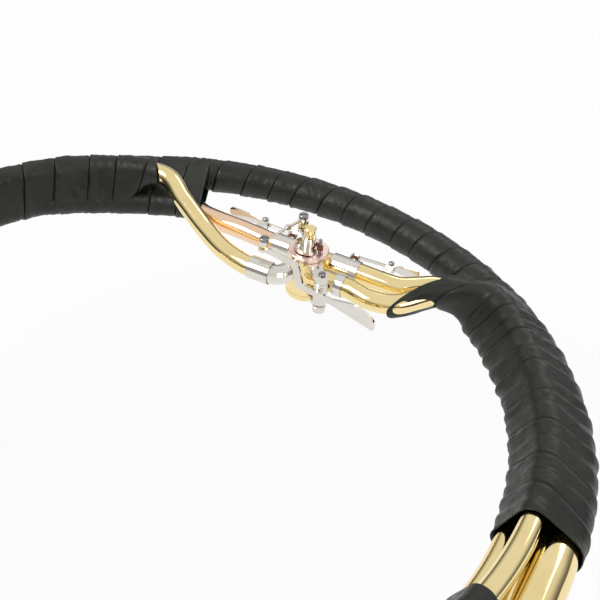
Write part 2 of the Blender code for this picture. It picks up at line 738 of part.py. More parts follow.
def wrap(name, tubes, start, end, width, lean):
    """A wound skin over a bundle, from one coil angle down to another, with an edge at each turn."""
    per_turn = math.degrees(width / COIL_RADIUS)
    turns = max(1, round((start - end) / per_turn))
    per_turn = (start - end) / turns
    step = math.degrees(WRAP_STEP / COIL_RADIUS)
    bm = bmesh.new()
    outer = []
    inner = []
    for k in range(turns):
        top = start - k * per_turn
        low_lean = lean if k < turns - 1 else 0.0
        high_lean = lean if k else 0.0
        outer.append(wrap_ring(bm, tubes, top - (step if k else 0.0), WRAP_HIGH, high_lean))
        outer.append(wrap_ring(bm, tubes, top - per_turn, WRAP_LOW, low_lean))
        inner.append(wrap_ring(bm, tubes, top, WRAP_CLEARANCE, high_lean))
        if k == turns - 1:
            inner.append(wrap_ring(bm, tubes, top - per_turn / 2, WRAP_CLEARANCE, high_lean / 2))
    inner.append(wrap_ring(bm, tubes, end, WRAP_CLEARANCE, 0.0))
    for skin in (outer, inner):
        for one, two in zip(skin, skin[1:]):
            bridge(bm, one, two)
    bridge(bm, outer[0], inner[0])
    bridge(bm, outer[-1], inner[-1])
    return finish(mesh_object(name, bm), "leather")


def bridge(bm, one, two):
    for k in range(len(one)):
        after = (k + 1) % len(one)
        bm.faces.new((one[k], one[after], two[after], two[k]))


def build_wraps():
    outer = (MAIN, -360.0)
    gap = math.degrees(GAP / COIL_RADIUS) * 1.5
    wrap("wrap_left", [outer, (INLET, -360.0), (LOOP, -360.0)], 176.0, 119.9, TURN_LEFT, 1.6)
    wrap("wrap_fork", [outer, (LOOP, -360.0)], 119.4 - gap, 111.9, TURN_ARC, 1.6)
    wrap("wrap_arc", [outer], 111.9 - gap, 53.4, TURN_ARC, 1.6)
    wrap("wrap_right", [outer, (MAIN, 0.0), (LOOP, 0.0)], 53.4 - gap, 2.0, TURN_RIGHT, 1.6)
    wrap("wrap_front_right", [(MAIN, 0.0), (LOOP, 0.0)], -13.0, -94.0, TURN_FRONT, 1.6)
    wrap("wrap_front_left", [(MAIN, 0.0), (LOOP, 0.0)], -94.0 - gap, -177.0, TURN_FRONT, 1.6)


# Valve

def build_casing():
    axis = Vector((VALVE_X, VALVE_Y, 0.0))
    body = rod("valve_casing", axis + Vector((0, 0, CASING_BOTTOM)), axis + Vector((0, 0, CASING_TOP)),
               CASING_RADIUS, sides=28)
    rear_left_end = REAR_LEFT_FERRULE + FERRULE_LENGTH / 2 + GAP / 2
    rear_right_end = REAR_RIGHT_FERRULE + REAR_RIGHT_FERRULE_LENGTH / 2 - GAP / 2
    front_right_end = FRONT_RIGHT_FERRULE + FRONT_RIGHT_FERRULE_LENGTH / 2 - GAP / 2
    stubs = [
        ("stub_rear_left", rear_left_end, PORT_OFFSET),
        ("stub_rear_right", rear_right_end, PORT_OFFSET),
        ("stub_front_right", front_right_end, -PORT_OFFSET)]
    inside = 5.0 * MM
    for name, end, across in stubs:
        root = math.copysign(inside, end)
        join(body, rod(name, by_valve(root, across), by_valve(end, across), TUBE_RADIUS, 16, group=CUTTERS))
    bore_top = CASING_TOP - CASING_ROOF
    cut(body, rod("rotor_bore", axis + Vector((0, 0, CASING_BOTTOM - MM)), axis + Vector((0, 0, bore_top)),
                  BORE_RADIUS, 28, group=CUTTERS))
    cut(body, rod("spindle_bore", axis + Vector((0, 0, bore_top - MM)), axis + Vector((0, 0, CASING_TOP + MM)),
                  JOURNAL_RADIUS + GAP, 16, group=CUTTERS))
    for name, end, across in stubs:
        root = math.copysign(inside + MM, end)
        beyond = end + math.copysign(MM, end)
        cut(body, rod(name + "_bore", by_valve(root, across), by_valve(beyond, across), PORT_BORE, 12,
                      group=CUTTERS))
    elbow_x = FRONT_LEFT_FERRULE + FERRULE_LENGTH - MM + ELBOW_RADIUS
    cut(body, rod("elbow_port", by_valve(elbow_x, -CASING_RADIUS - MM), by_valve(elbow_x, -PORT_OFFSET + MM),
                  PORT_BORE - 0.6 * MM, 12, group=CUTTERS))
    finish(body, "brass")

    bend = FRONT_LEFT_FERRULE + FERRULE_LENGTH - MM
    start = FRONT_LEFT_FERRULE + FERRULE_LENGTH / 2 + GAP
    around = arc((bend, -FRONT_LEFT_OFFSET + ELBOW_RADIUS), ELBOW_RADIUS, -90.0, 0.0, 7)
    path = [by_valve(start, -FRONT_LEFT_OFFSET), *[by_valve(x, y) for x, y in around],
            by_valve(elbow_x, -PORT_OFFSET + MM)]
    elbow = tube("port_elbow", path, [TUBE_RADIUS] * len(path), 16, 10)
    seat_low = axis + Vector((0, 0, CASING_BOTTOM - MM))
    seat_high = axis + Vector((0, 0, CASING_TOP + MM))
    seat_cut = rod("elbow_seat", seat_low, seat_high, CASING_RADIUS + GAP, 32, group=CUTTERS)
    boolean(elbow, seat_cut, "DIFFERENCE", "MANIFOLD")
    finish(elbow, "nickel")


def build_ferrules():
    along = Vector((1.0, 0.0, 0.0))
    sleeves = [
        ("rear_left_ferrule", REAR_LEFT_FERRULE, PORT_OFFSET, FERRULE_LENGTH),
        ("rear_right_ferrule", REAR_RIGHT_FERRULE, PORT_OFFSET, REAR_RIGHT_FERRULE_LENGTH),
        ("front_left_ferrule", FRONT_LEFT_FERRULE, -FRONT_LEFT_OFFSET, FERRULE_LENGTH),
        ("front_right_ferrule", FRONT_RIGHT_FERRULE, -PORT_OFFSET, FRONT_RIGHT_FERRULE_LENGTH)]
    for name, x, y, length in sleeves:
        finish(ring(name, by_valve(x, y), along, FERRULE_BORE, FERRULE_BORE + FERRULE_WALL, length), "nickel")


def build_caps():
    axis = Vector((VALVE_X, VALVE_Y, 0.0))
    bottom = CASING_TOP + GAP
    top = bottom + TOP_PLATE_HEIGHT
    floor = bottom + TOP_PLATE_FLOOR
    hole = JOURNAL_RADIUS + GAP
    edge = 0.4 * MM
    profile = [
        (TOP_PLATE_RECESS, top), (TOP_PLATE_RADIUS - edge, top), (TOP_PLATE_RADIUS, top - edge),
        (TOP_PLATE_RADIUS, bottom + edge), (TOP_PLATE_RADIUS - edge, bottom), (hole, bottom),
        (hole, floor), (TOP_PLATE_RECESS - 0.6 * MM, floor)]
    finish(turned("valve_top_plate", profile, axis, steps=28), "copper")

    bush = [
        (JOURNAL_RADIUS + 1.4 * MM, floor + 2.4 * MM), (JOURNAL_RADIUS + 2.0 * MM, floor + 1.2 * MM),
        (JOURNAL_RADIUS + 2.6 * MM, floor + GAP), (SPINDLE_RADIUS + GAP, floor + GAP),
        (SPINDLE_RADIUS + GAP, floor + 2.4 * MM)]
    finish(turned("spindle_bush", bush, axis), "nickel")

    low = CASING_BOTTOM - GAP
    spigot = BORE_RADIUS - GAP
    cap = [
        (0.0, low + 1.4 * MM), (spigot, low + 1.4 * MM), (spigot, low), (BOTTOM_CAP_RADIUS - edge, low),
        (BOTTOM_CAP_RADIUS, low - edge), (BOTTOM_CAP_RADIUS, low - BOTTOM_CAP_HEIGHT + 1.2 * MM),
        (BOTTOM_CAP_RADIUS - 1.2 * MM, low - BOTTOM_CAP_HEIGHT), (0.0, low - BOTTOM_CAP_HEIGHT)]
    finish(turned("valve_bottom_cap", cap, axis, steps=28), "brass")


def rotor_top():
    return CASING_TOP - CASING_ROOF - GAP


def build_rotor():
    axis = Vector((VALVE_X, VALVE_Y, 0.0))
    top = rotor_top()
    bottom = top - ROTOR_HEIGHT
    body = BORE_RADIUS - GAP
    plate_low = bottom - GAP - BACK_BEARING_HEIGHT
    screw_bore = 1.5 * MM
    profile = [
        (screw_bore, HUB_TOP - GAP), (SPINDLE_RADIUS, HUB_TOP - GAP), (SPINDLE_RADIUS, CASING_TOP + GAP),
        (JOURNAL_RADIUS, CASING_TOP), (JOURNAL_RADIUS, top), (body, top), (body, bottom),
        (JOURNAL_RADIUS, bottom), (JOURNAL_RADIUS, plate_low + GAP), (0.0, plate_low + GAP),
        (0.0, HUB_TOP - 9.0 * MM), (screw_bore, HUB_TOP - 8.0 * MM)]
    profile = [(r, h) for r, h in profile if r > 0.0 or h < bottom] + [(0.0, HUB_TOP - 9.0 * MM)]
    ordered = [
        (0.0, HUB_TOP - 9.0 * MM), (screw_bore, HUB_TOP - 8.0 * MM), (screw_bore, HUB_TOP - GAP),
        (SPINDLE_RADIUS, HUB_TOP - GAP), (SPINDLE_RADIUS, CASING_TOP + GAP), (JOURNAL_RADIUS, CASING_TOP),
        (JOURNAL_RADIUS, top), (body, top), (body, bottom), (JOURNAL_RADIUS, bottom),
        (JOURNAL_RADIUS, plate_low + GAP), (0.0, plate_low + GAP)]
    rotor = turned("rotor", ordered, axis, steps=32)
    across = Vector((math.cos(math.radians(45.0)), math.sin(math.radians(45.0)), 0.0))
    side = Vector((-across.y, across.x, 0.0))
    for name, sign in (("channel_one", 1.0), ("channel_two", -1.0)):
        middle = PORT_PLANE + side * PORT_OFFSET * sign
        reach = across * (body + 2 * MM)
        cut(rotor, rod(name, middle - reach, middle + reach, PORT_BORE, 16, group=CUTTERS))
    finish(rotor, "brass")

    bearing = [
        (JOURNAL_RADIUS + GAP, bottom - GAP), (body, bottom - GAP), (body, plate_low),
        (JOURNAL_RADIUS + GAP, plate_low)]
    finish(turned("back_bearing", bearing, axis), "nickel")
    return rotor


def build_stop(rotor):
    axis = Vector((VALVE_X, VALVE_Y, 0.0))
    hub = rod("stop_arm", axis + Vector((0, 0, HUB_BOTTOM)), axis + Vector((0, 0, HUB_TOP)), HUB_RADIUS, 24)
    clear = math.degrees(math.asin((STOP_PIN_RADIUS + STOP_SLEEVE_WALL + 2 * GAP) / STOP_PIN_AT))
    opening = ROTOR_SWING + clear
    sector = arc((0.0, 0.0), CAM_RADIUS, STOP_PIN_ANGLE + opening, STOP_PIN_ANGLE + 360.0 - opening, 18)
    notch = arc((0.0, 0.0), HUB_RADIUS * 0.8, STOP_PIN_ANGLE + 360.0 - opening, STOP_PIN_ANGLE + opening, 6)
    cam = plate("stop_cam", [*sector, *notch], CAM_HEIGHT, CUTTERS)
    cam.location = axis + Vector((0, 0, HUB_BOTTOM))
    towards = polar(STOP_ARM_ANGLE, 1.0, 0.0)
    arm_low = HUB_BOTTOM + CAM_HEIGHT + GAP
    arm_high = arm_low + 2.8 * MM
    end = axis + towards * STOP_ARM_LENGTH
    eye = rod("arm_eye", end + Vector((0, 0, arm_low)), end + Vector((0, 0, arm_high)), LINK_EYE_RADIUS, 20,
              group=CUTTERS)
    bar = box("arm_bar", (STOP_ARM_LENGTH, 3.6 * MM, arm_high - arm_low - 0.2 * MM),
              axis + towards * STOP_ARM_LENGTH / 2 + Vector((0, 0, (arm_low + arm_high) / 2)),
              STOP_ARM_ANGLE, CUTTERS)
    join(hub, cam, bar, eye)
    cut(hub, rod("hub_bore", axis + Vector((0, 0, HUB_BOTTOM - MM)), axis + Vector((0, 0, HUB_TOP + MM)),
                 SPINDLE_RADIUS + GAP, 20, group=CUTTERS))
    finish(hub, "nickel")

    low = HUB_TOP + GAP
    head = [
        (0.0, low + SPINDLE_HEAD_HEIGHT), (SPINDLE_HEAD_RADIUS - 0.6 * MM, low + SPINDLE_HEAD_HEIGHT),
        (SPINDLE_HEAD_RADIUS, low + SPINDLE_HEAD_HEIGHT - 0.6 * MM), (SPINDLE_HEAD_RADIUS, low + 2.6 * MM),
        (SPINDLE_HEAD_RADIUS - 0.7 * MM, low + 2.0 * MM), (SPINDLE_HEAD_RADIUS - 0.7 * MM, low),
        (1.1 * MM, low), (1.1 * MM, low - 6.5 * MM), (0.0, low - 6.5 * MM)]
    screw = finish(turned("spindle_screw", head, axis), "brass")

    cup_low = arm_high + GAP
    cup_top = LINK_REAR_HEIGHT - LINK_EYE_HEIGHT / 2 - GAP
    bore = LINK_PIN_RADIUS + GAP
    cup = [
        (bore, cup_top), (LINK_EYE_RADIUS, cup_top), (LINK_EYE_RADIUS + 0.3 * MM, cup_top - 1.4 * MM),
        (LINK_EYE_RADIUS - 0.9 * MM, cup_low), (bore, cup_low)]
    stud = finish(turned("link_cup", cup, end, steps=24), "brass")
    pin_top = LINK_REAR_HEIGHT + LINK_EYE_HEIGHT / 2 + GAP
    pin = screw_piece("link_screw_rear", end, pin_top, cup_low + GAP)

    stop_at = axis + polar(STOP_PIN_ANGLE, STOP_PIN_AT, 0.0)
    floor = CASING_TOP + GAP + TOP_PLATE_FLOOR + GAP
    finish(rod("stop_pin", stop_at + Vector((0, 0, floor)), stop_at + Vector((0, 0, HUB_TOP - MM)),
               STOP_PIN_RADIUS, 12), "steel")
    sleeve = ring("stop_sleeve", stop_at + Vector((0, 0, HUB_BOTTOM - GAP)), (0, 0, 1), STOP_PIN_RADIUS + GAP,
                  STOP_PIN_RADIUS + STOP_SLEEVE_WALL + GAP, CAM_HEIGHT + 2 * GAP, 16)
    finish(sleeve, "rubber")
    carry(pivot_empty("rotor_axis", axis), rotor, hub, screw, stud, pin)
    return end


def screw_piece(name, place, low, shank_end):
    """A cheese head screw: its head stands on the height low and its shank reaches shank_end."""
    edge = 0.3 * MM
    head = [
        (0.0, low + SCREW_HEAD_HEIGHT), (SCREW_HEAD_RADIUS - edge, low + SCREW_HEAD_HEIGHT),
        (SCREW_HEAD_RADIUS, low + SCREW_HEAD_HEIGHT - edge), (SCREW_HEAD_RADIUS, low), (LINK_PIN_RADIUS, low),
        (LINK_PIN_RADIUS, shank_end), (0.0, shank_end)]
    screw = turned(name, head, place, steps=20)
    slot = box(name + "_slot", (2.6 * SCREW_HEAD_RADIUS, 0.8 * MM, 1.0 * MM),
               Vector(place) + Vector((0, 0, low + SCREW_HEAD_HEIGHT)), 30.0, CUTTERS)
    return finish(cut(screw, slot), "steel")


# Lever and link

def lever_place(along, across, height=0.0):
    """A point of the lever: along its length from the pivot, and across towards the player."""
    a = math.radians(LEVER_ANGLE)
    pivot = Vector((VALVE_X + LEVER_PIVOT_X, VALVE_Y + LEVER_PIVOT_Y, height))
    return pivot + Vector((along * math.cos(a) + across * math.sin(a),
                           along * math.sin(a) - across * math.cos(a), 0.0))


def build_lever():
    near = BARREL_RADIUS + GAP
    middle = near + LEVER_THICKNESS / 2
    arm_top = LEVER_ARM_HEIGHT + LEVER_ARM_WIDTH / 2
    arm_low = LEVER_ARM_HEIGHT - LEVER_ARM_WIDTH / 2
    bar_top = LEVER_BAR_HEIGHT + LEVER_BAR_WIDTH / 2
    bar_low = LEVER_BAR_HEIGHT - LEVER_BAR_WIDTH / 2
    neck = -12.0 * MM
    eye_end = -LEVER_ARM + LINK_EYE_RADIUS * 0.5
    corners = [
        (eye_end, arm_top, 0.5 * MM), (neck - 2.5 * MM, arm_top, 5.5 * MM),
        (neck + 2.2 * MM, bar_top, 1.5 * MM), (PADDLE_START, bar_top, 6.0 * MM),
        (0.66 * LEVER_REACH, PADDLE_TOP, 14.0 * MM), (LEVER_REACH, PADDLE_TOP - 3.5 * MM, 5.5 * MM),
        (LEVER_REACH, PADDLE_BOTTOM, 1.2 * MM), (PADDLE_START, bar_low, 6.0 * MM),
        (neck - 2.5 * MM, bar_low, 1.5 * MM), (neck - 6.5 * MM, arm_low, 3.0 * MM),
        (eye_end, arm_low, 0.5 * MM)]
    lever = plate("thumb_lever", rounded(corners), LEVER_THICKNESS)
    lever.rotation_euler = (math.radians(90.0), 0.0, math.radians(LEVER_ANGLE))
    lever.location = lever_place(0.0, near + LEVER_THICKNESS) + Vector((0, 0, 0.0))
    eye = lever_place(-LEVER_ARM, middle)
    disc_low = LEVER_ARM_HEIGHT - 1.1 * MM
    disc_top = LEVER_ARM_HEIGHT + 1.1 * MM
    lever.location = lever_place(0.0, near)
    disc = rod("lever_eye", eye + Vector((0, 0, disc_low)), eye + Vector((0, 0, disc_top)),
               LINK_EYE_RADIUS + 0.2 * MM, 24, group=CUTTERS)
    join(lever, disc)
    finish(lever, "nickel")

    pivot = lever_place(0.0, 0.0)
    barrel = ring("lever_barrel", pivot + Vector((0, 0, BARREL_BOTTOM)), (0, 0, 1), PIVOT_RADIUS + GAP,
                  BARREL_RADIUS, BARREL_TOP - BARREL_BOTTOM, 24)
    finish(barrel, "nickel")
    stud_top = LINK_FRONT_HEIGHT - LINK_EYE_HEIGHT / 2 - GAP
    stud = rod("lever_stud", eye + Vector((0, 0, arm_top + GAP)), eye + Vector((0, 0, stud_top)),
               LINK_EYE_RADIUS - 0.6 * MM, 20)
    finish(stud, "brass")
    carry(pivot_empty("lever_axis", pivot), lever, barrel, stud)
    return eye


def build_bracket():
    pivot = lever_place(0.0, 0.0)
    centre = Vector((VALVE_X, VALVE_Y, 0.0))
    to_casing = centre - pivot
    turn = math.degrees(math.atan2(to_casing.y, to_casing.x))
    length = to_casing.length
    hole = PIVOT_RADIUS + GAP
    casing_low = CASING_BOTTOM - BOTTOM_CAP_HEIGHT
    seat_cut = rod("bracket_seat", centre + Vector((0, 0, casing_low)), centre + Vector((0, 0, HUB_TOP)),
                   CASING_RADIUS + GAP, 32, group=CUTTERS)
    pivot_cut = rod("bracket_hole", pivot + Vector((0, 0, casing_low)), pivot + Vector((0, 0, HUB_TOP)),
                    hole, 16, group=CUTTERS)
    levels = [
        ("lever_bracket_top", BARREL_TOP + GAP, 1.0),
        ("lever_bracket_bottom", BARREL_BOTTOM - GAP - BRACKET_THICKNESS, -1.0)]
    for name, low, side in levels:
        half = BARREL_RADIUS * 0.9
        outline = [*arc((0.0, 0.0), half, 90.0, 270.0, 9), (length, -half), (length, half)]
        piece = plate(name, outline, BRACKET_THICKNESS)
        piece.location = pivot + Vector((0, 0, low))
        piece.rotation_euler = (0.0, 0.0, math.radians(turn))
        block_low = low + BRACKET_THICKNESS / 2 if side > 0 else low + BRACKET_THICKNESS / 2 - BRACKET_BLOCK_HEIGHT
        middle = pivot + Vector((0, 0, block_low + BRACKET_BLOCK_HEIGHT / 2))
        if side > 0:
            block = box(name + "_block", (BRACKET_BLOCK, BRACKET_BLOCK, BRACKET_BLOCK_HEIGHT), middle, 20.0, CUTTERS)
        else:
            block = rod(name + "_boss", middle - Vector((0, 0, BRACKET_BLOCK_HEIGHT / 2)),
                        middle + Vector((0, 0, BRACKET_BLOCK_HEIGHT / 2)), BARREL_RADIUS - 0.3 * MM, 24, group=CUTTERS)
        join(piece, block)
        cut(piece, seat_cut, pivot_cut)
        finish(piece, "nickel")
    top = BARREL_TOP + GAP + BRACKET_THICKNESS / 2 + BRACKET_BLOCK_HEIGHT + GAP
    low = BARREL_BOTTOM - GAP - BRACKET_THICKNESS
    head = [
        (0.0, top + 0.9 * MM), (PIVOT_RADIUS + 0.6 * MM, top + 0.9 * MM), (PIVOT_RADIUS + 0.8 * MM, top + 0.6 * MM),
        (PIVOT_RADIUS + 0.8 * MM, top), (PIVOT_RADIUS, top), (PIVOT_RADIUS, low), (0.0, low)]
    screw = turned("lever_pivot_screw", head, pivot, steps=20)
    slot = box("pivot_slot", (6 * PIVOT_RADIUS, 0.6 * MM, 0.8 * MM), pivot + Vector((0, 0, top + 0.9 * MM)), 50.0,
               CUTTERS)
    finish(cut(screw, slot), "steel")


def build_link(rear, front):
    rear = Vector((rear.x, rear.y, LINK_REAR_HEIGHT))
    front = Vector((front.x, front.y, LINK_FRONT_HEIGHT))
    half = LINK_EYE_HEIGHT / 2
    up = Vector((0, 0, half))
    link = rod("link_rod", rear - up, rear + up, LINK_EYE_RADIUS, 20)
    eye = rod("link_front_eye", front - up, front + up, LINK_EYE_RADIUS, 20, group=CUTTERS)
    ahead = (front - rear).normalized()
    bar = rod("link_bar", rear + ahead * LINK_PIN_RADIUS, front - ahead * MM, LINK_ROD_RADIUS * 0.72, 12, group=CUTTERS)
    join(link, eye, bar)
    cut(link, rod("link_rear_bore", rear - 2 * up, rear + 2 * up, LINK_PIN_RADIUS + GAP, 16, group=CUTTERS))
    finish(link, "nickel")
    middle = rear + (front - rear) * 0.36
    nut = ring("link_nut", middle, ahead, LINK_ROD_RADIUS * 0.72 + GAP, LINK_ROD_RADIUS + 0.9 * MM, 2.6 * MM, 6)
    finish(nut, "nickel")
    low = LINK_FRONT_HEIGHT + half + GAP
    screw = screw_piece("link_screw_front", front - Vector((0, 0, LINK_FRONT_HEIGHT)), low, low - GAP / 2)
    carry(pivot_empty("link_axis", Vector((rear.x, rear.y, 0.0))), link, nut, screw)


# Water keys

def build_water_key(side, name, cup_x, hinge_x, tip_x, tip_y, tube_y):
    """One water key: cup_x, hinge_x and tip_x are places along X from the rotor's axis."""
    z = WATER_KEY_LIFT
    hinge_y = PORT_OFFSET + WATER_KEY_STANDOFF
    ferrule_out = PORT_OFFSET + FERRULE_BORE + FERRULE_WALL
    outward = Vector((0.0, 1.0, 0.0))
    nipple_at = by_valve(cup_x, ferrule_out - 0.2 * MM, z)
    profile = [
        (NIPPLE_RADIUS - 0.7 * MM, NIPPLE_HEIGHT), (NIPPLE_RADIUS - 0.3 * MM, NIPPLE_HEIGHT - 0.6 * MM),
        (NIPPLE_RADIUS, 1.0 * MM), (NIPPLE_RADIUS + 0.5 * MM, 0.0), (NIPPLE_BORE, 0.0), (NIPPLE_BORE, NIPPLE_HEIGHT)]
    profile = [(NIPPLE_BORE, NIPPLE_HEIGHT), *profile[:4], (NIPPLE_BORE, 0.0)]
    nipple = turned(f"{name}_nipple", profile, nipple_at, outward, steps=16)
    cut(nipple, rod(f"{name}_nipple_seat", by_valve(cup_x - 6 * MM, PORT_OFFSET), by_valve(cup_x + 6 * MM, PORT_OFFSET),
                    FERRULE_BORE + FERRULE_WALL + GAP, 24, group=CUTTERS))
    finish(nipple, "nickel")

    pad_y = ferrule_out - 0.2 * MM + NIPPLE_HEIGHT + GAP
    pad_depth = 1.4 * MM
    pad_radius = WATER_KEY_CUP_RADIUS - WATER_KEY_CUP_WALL - GAP
    pad = rod(f"{name}_pad", by_valve(cup_x, pad_y, z), by_valve(cup_x, pad_y + pad_depth, z), pad_radius, 16)
    finish(pad, "cork")

    cup_floor = pad_y + pad_depth + GAP
    cup_mouth = cup_floor - WATER_KEY_CUP_DEPTH + 2.0 * MM
    inner = WATER_KEY_CUP_RADIUS - WATER_KEY_CUP_WALL
    cup = [
        (0.0, cup_floor + 1.0 * MM), (WATER_KEY_CUP_RADIUS - 0.9 * MM, cup_floor + 1.0 * MM),
        (WATER_KEY_CUP_RADIUS, cup_floor), (WATER_KEY_CUP_RADIUS, cup_mouth), (inner, cup_mouth),
        (inner, cup_floor), (0.0, cup_floor)]
    key = turned(f"{name}_lever", cup, by_valve(cup_x, 0.0, z), outward, steps=20)
    hinge = by_valve(hinge_x, hinge_y, z)
    half = WATER_KEY_PLATE_WIDTH / 2
    up = Vector((0.0, 0.0, half * 0.55))
    knuckle = rod(f"{name}_knuckle", hinge - up, hinge + up, WATER_KEY_KNUCKLE, 16, group=CUTTERS)
    arm = rod(f"{name}_arm", by_valve(cup_x, cup_floor + 1.4 * MM, z), hinge, 1.1 * MM, 10, group=CUTTERS)
    reach = tip_x - hinge_x
    bend = math.degrees(math.atan2(tip_y - hinge_y, reach))
    length = math.hypot(reach, tip_y - hinge_y)
    neck = half * 0.5
    clear = EAR_RADIUS + GAP
    wide = length * 0.42
    outline = rounded([
        (0.0, -neck, 0.3 * MM), (clear, -neck, 0.8 * MM), (wide, -half, 1.0 * MM),
        (length, -half, half * 0.9), (length, half, half * 0.9), (wide, half, 1.0 * MM),
        (clear, neck, 0.8 * MM), (0.0, neck, 0.3 * MM)], 4)
    touch = plate(f"{name}_touch", outline, WATER_KEY_PLATE, CUTTERS)
    touch.rotation_euler = (math.radians(90.0), 0.0, math.radians(bend))
    offset = Matrix.Rotation(math.radians(bend), 3, "Z") @ Vector((0.0, WATER_KEY_PLATE / 2, 0.0))
    touch.location = hinge + offset
    join(key, knuckle, arm, touch)
    pin_radius = 0.8 * MM
    cut(key, rod(f"{name}_hinge_bore", hinge - 3 * up, hinge + 3 * up, pin_radius + GAP, 12, group=CUTTERS))
    finish(key, "nickel")

    ear = 1.2 * MM
    ear_low = half * 0.55 + GAP
    saddle = box(f"{name}_saddle", (2 * EAR_RADIUS, hinge_y - tube_y - WATER_KEY_KNUCKLE - GAP, 2 * (ear_low + ear)),
                 by_valve(hinge_x, (hinge_y - WATER_KEY_KNUCKLE - GAP + tube_y) / 2, z))
    for label, sign in (("upper", 1.0), ("lower", -1.0)):
        low = sign * ear_low if sign > 0 else sign * (ear_low + ear)
        outline = [*arc((0.0, 0.0), EAR_RADIUS, 0.0, 180.0, 8), (-EAR_RADIUS, -4.0 * MM), (EAR_RADIUS, -4.0 * MM)]
        lug = plate(f"{name}_{label}_ear", outline, ear, CUTTERS)
        lug.location = hinge + Vector((0.0, 0.0, low))
        join(saddle, lug)
    cut(saddle, swept(f"{name}_tube_seat", *seat_route(hinge_x), 20))
    cut(saddle, rod(f"{name}_ear_bore", hinge - 4 * up, hinge + 4 * up, pin_radius + GAP, 12, group=CUTTERS))
    finish(saddle, "nickel")

    top = ear_low + ear + GAP
    head = [
        (0.0, top + 1.2 * MM), (1.2 * MM, top + 1.0 * MM), (1.9 * MM, top + 0.4 * MM), (1.9 * MM, top),
        (pin_radius, top), (pin_radius, -top), (0.0, -top)]
    finish(turned(f"{name}_pin", head, hinge, steps=16), "steel")
    carry(pivot_empty(f"{name}_axis", hinge), key, pad)


def seat_route(hinge_x):
    """The stretch of loop tube under a saddle, a little fatter than the tube."""
    ends = [MIDDLE_OF_LOOP(hinge_x + dx) for dx in (-7 * MM, 0.0, 7 * MM)]
    return ends, [TUBE_RADIUS + GAP] * 3


def MIDDLE_OF_LOOP(x):
    """The loop's centre at a place along X from the rotor's axis."""
    near = LOOP.points[:, 1] > VALVE_Y - 20 * MM
    where = LOOP.points[near]
    order = np.argsort(where[:, 0])
    return Vector([np.interp(VALVE_X + x, where[order, 0], where[order, k]) for k in range(3)])


def build_water_keys():
    for side, name, cup_x, hinge_x, tip_x, tip_y in (
            (1.0, "water_key_right", 24.0 * MM, 48.0 * MM, 66.5 * MM, 26.0 * MM),
            (-1.0, "water_key_left", -21.0 * MM, -43.0 * MM, -70.5 * MM, 25.5 * MM)):
        tube_y = MIDDLE_OF_LOOP(hinge_x).y - VALVE_Y
        build_water_key(side, name, cup_x, hinge_x, tip_x, tip_y, tube_y)


# Assembly

def centre_on_box():
    """Moves the horn and its cutters so that the origin is the middle of the box round it."""
    right = COIL_RADIUS + BELL_RADIUS + 2 * RIM_WIRE_RADIUS + GAP * 1.5
    left = COIL_RADIUS + MOUTHPIPE_OUTSET + MOUTHPIECE_RIM_RADIUS
    front = BELL_BRANCH_LENGTH + GAP + BELL_LENGTH + RIM_WIRE_RADIUS
    rear = COIL_RADIUS + main_radius(-270.0) + WRAP_HIGH
    middle = Vector(((right - left) / 2, (rear - front) / 2, 0.0))
    for obj in bpy.data.objects:
        if obj.parent is None:
            obj.location -= middle


mouthpipe_joint = build_mouthpipe()
throat_radius = build_coil_tubes(mouthpipe_joint)
build_mouthpiece()
build_bell(throat_radius)
build_casing()
build_ferrules()
build_caps()
rear_eye = build_stop(build_rotor())
front_eye = build_lever()
build_bracket()
build_link(rear_eye, front_eye)
build_water_keys()
build_wraps()
centre_on_box()
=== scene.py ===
"""Looks of the hunting horn: polished brass and nickel silver tubes and valve, and a coil wound
with dark imitation leather tape, in plain soft studio light from the photograph's viewpoint.

Shapes are laid out from the centre of the coil, as the model is, and moved to its frame last.
Angles on the coil are in degrees from +X and go down along the air's way, below zero for later turns.
"""
import json
import math

import bpy
import numpy as np
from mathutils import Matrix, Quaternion, Vector


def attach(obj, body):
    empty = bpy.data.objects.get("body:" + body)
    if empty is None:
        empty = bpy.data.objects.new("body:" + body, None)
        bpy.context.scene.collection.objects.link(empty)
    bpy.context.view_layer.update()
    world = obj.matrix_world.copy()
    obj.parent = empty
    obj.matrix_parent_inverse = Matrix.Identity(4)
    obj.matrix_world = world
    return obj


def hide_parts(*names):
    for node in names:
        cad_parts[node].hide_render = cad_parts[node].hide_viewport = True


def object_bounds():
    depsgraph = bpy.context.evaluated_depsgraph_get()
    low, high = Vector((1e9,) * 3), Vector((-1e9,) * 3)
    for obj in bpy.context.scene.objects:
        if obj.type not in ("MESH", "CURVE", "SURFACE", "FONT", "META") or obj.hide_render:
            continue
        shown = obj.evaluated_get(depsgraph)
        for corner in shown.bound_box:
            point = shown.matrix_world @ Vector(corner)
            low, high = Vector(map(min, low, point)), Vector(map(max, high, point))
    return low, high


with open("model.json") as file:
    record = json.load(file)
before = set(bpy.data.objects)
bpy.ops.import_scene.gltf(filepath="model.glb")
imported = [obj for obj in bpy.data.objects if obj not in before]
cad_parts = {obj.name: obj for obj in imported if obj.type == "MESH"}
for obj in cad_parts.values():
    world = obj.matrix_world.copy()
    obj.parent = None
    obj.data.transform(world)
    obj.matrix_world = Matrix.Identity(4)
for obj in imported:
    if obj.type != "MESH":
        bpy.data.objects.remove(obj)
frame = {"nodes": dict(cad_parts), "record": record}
CAD_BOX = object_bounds()

MM = 0.001
UP = np.array((0.0, 0.0, 1.0))

# Camera, as fitted to the photograph
CAMERA_PLACE = (0.25215, -0.38353, 0.43585)
CAMERA_ELEVATION = 38.42
CAMERA_HEADING = 23.5
CAMERA_ROLL = 5.31
CAMERA_LENS = 68.16
SENSOR = 36.0

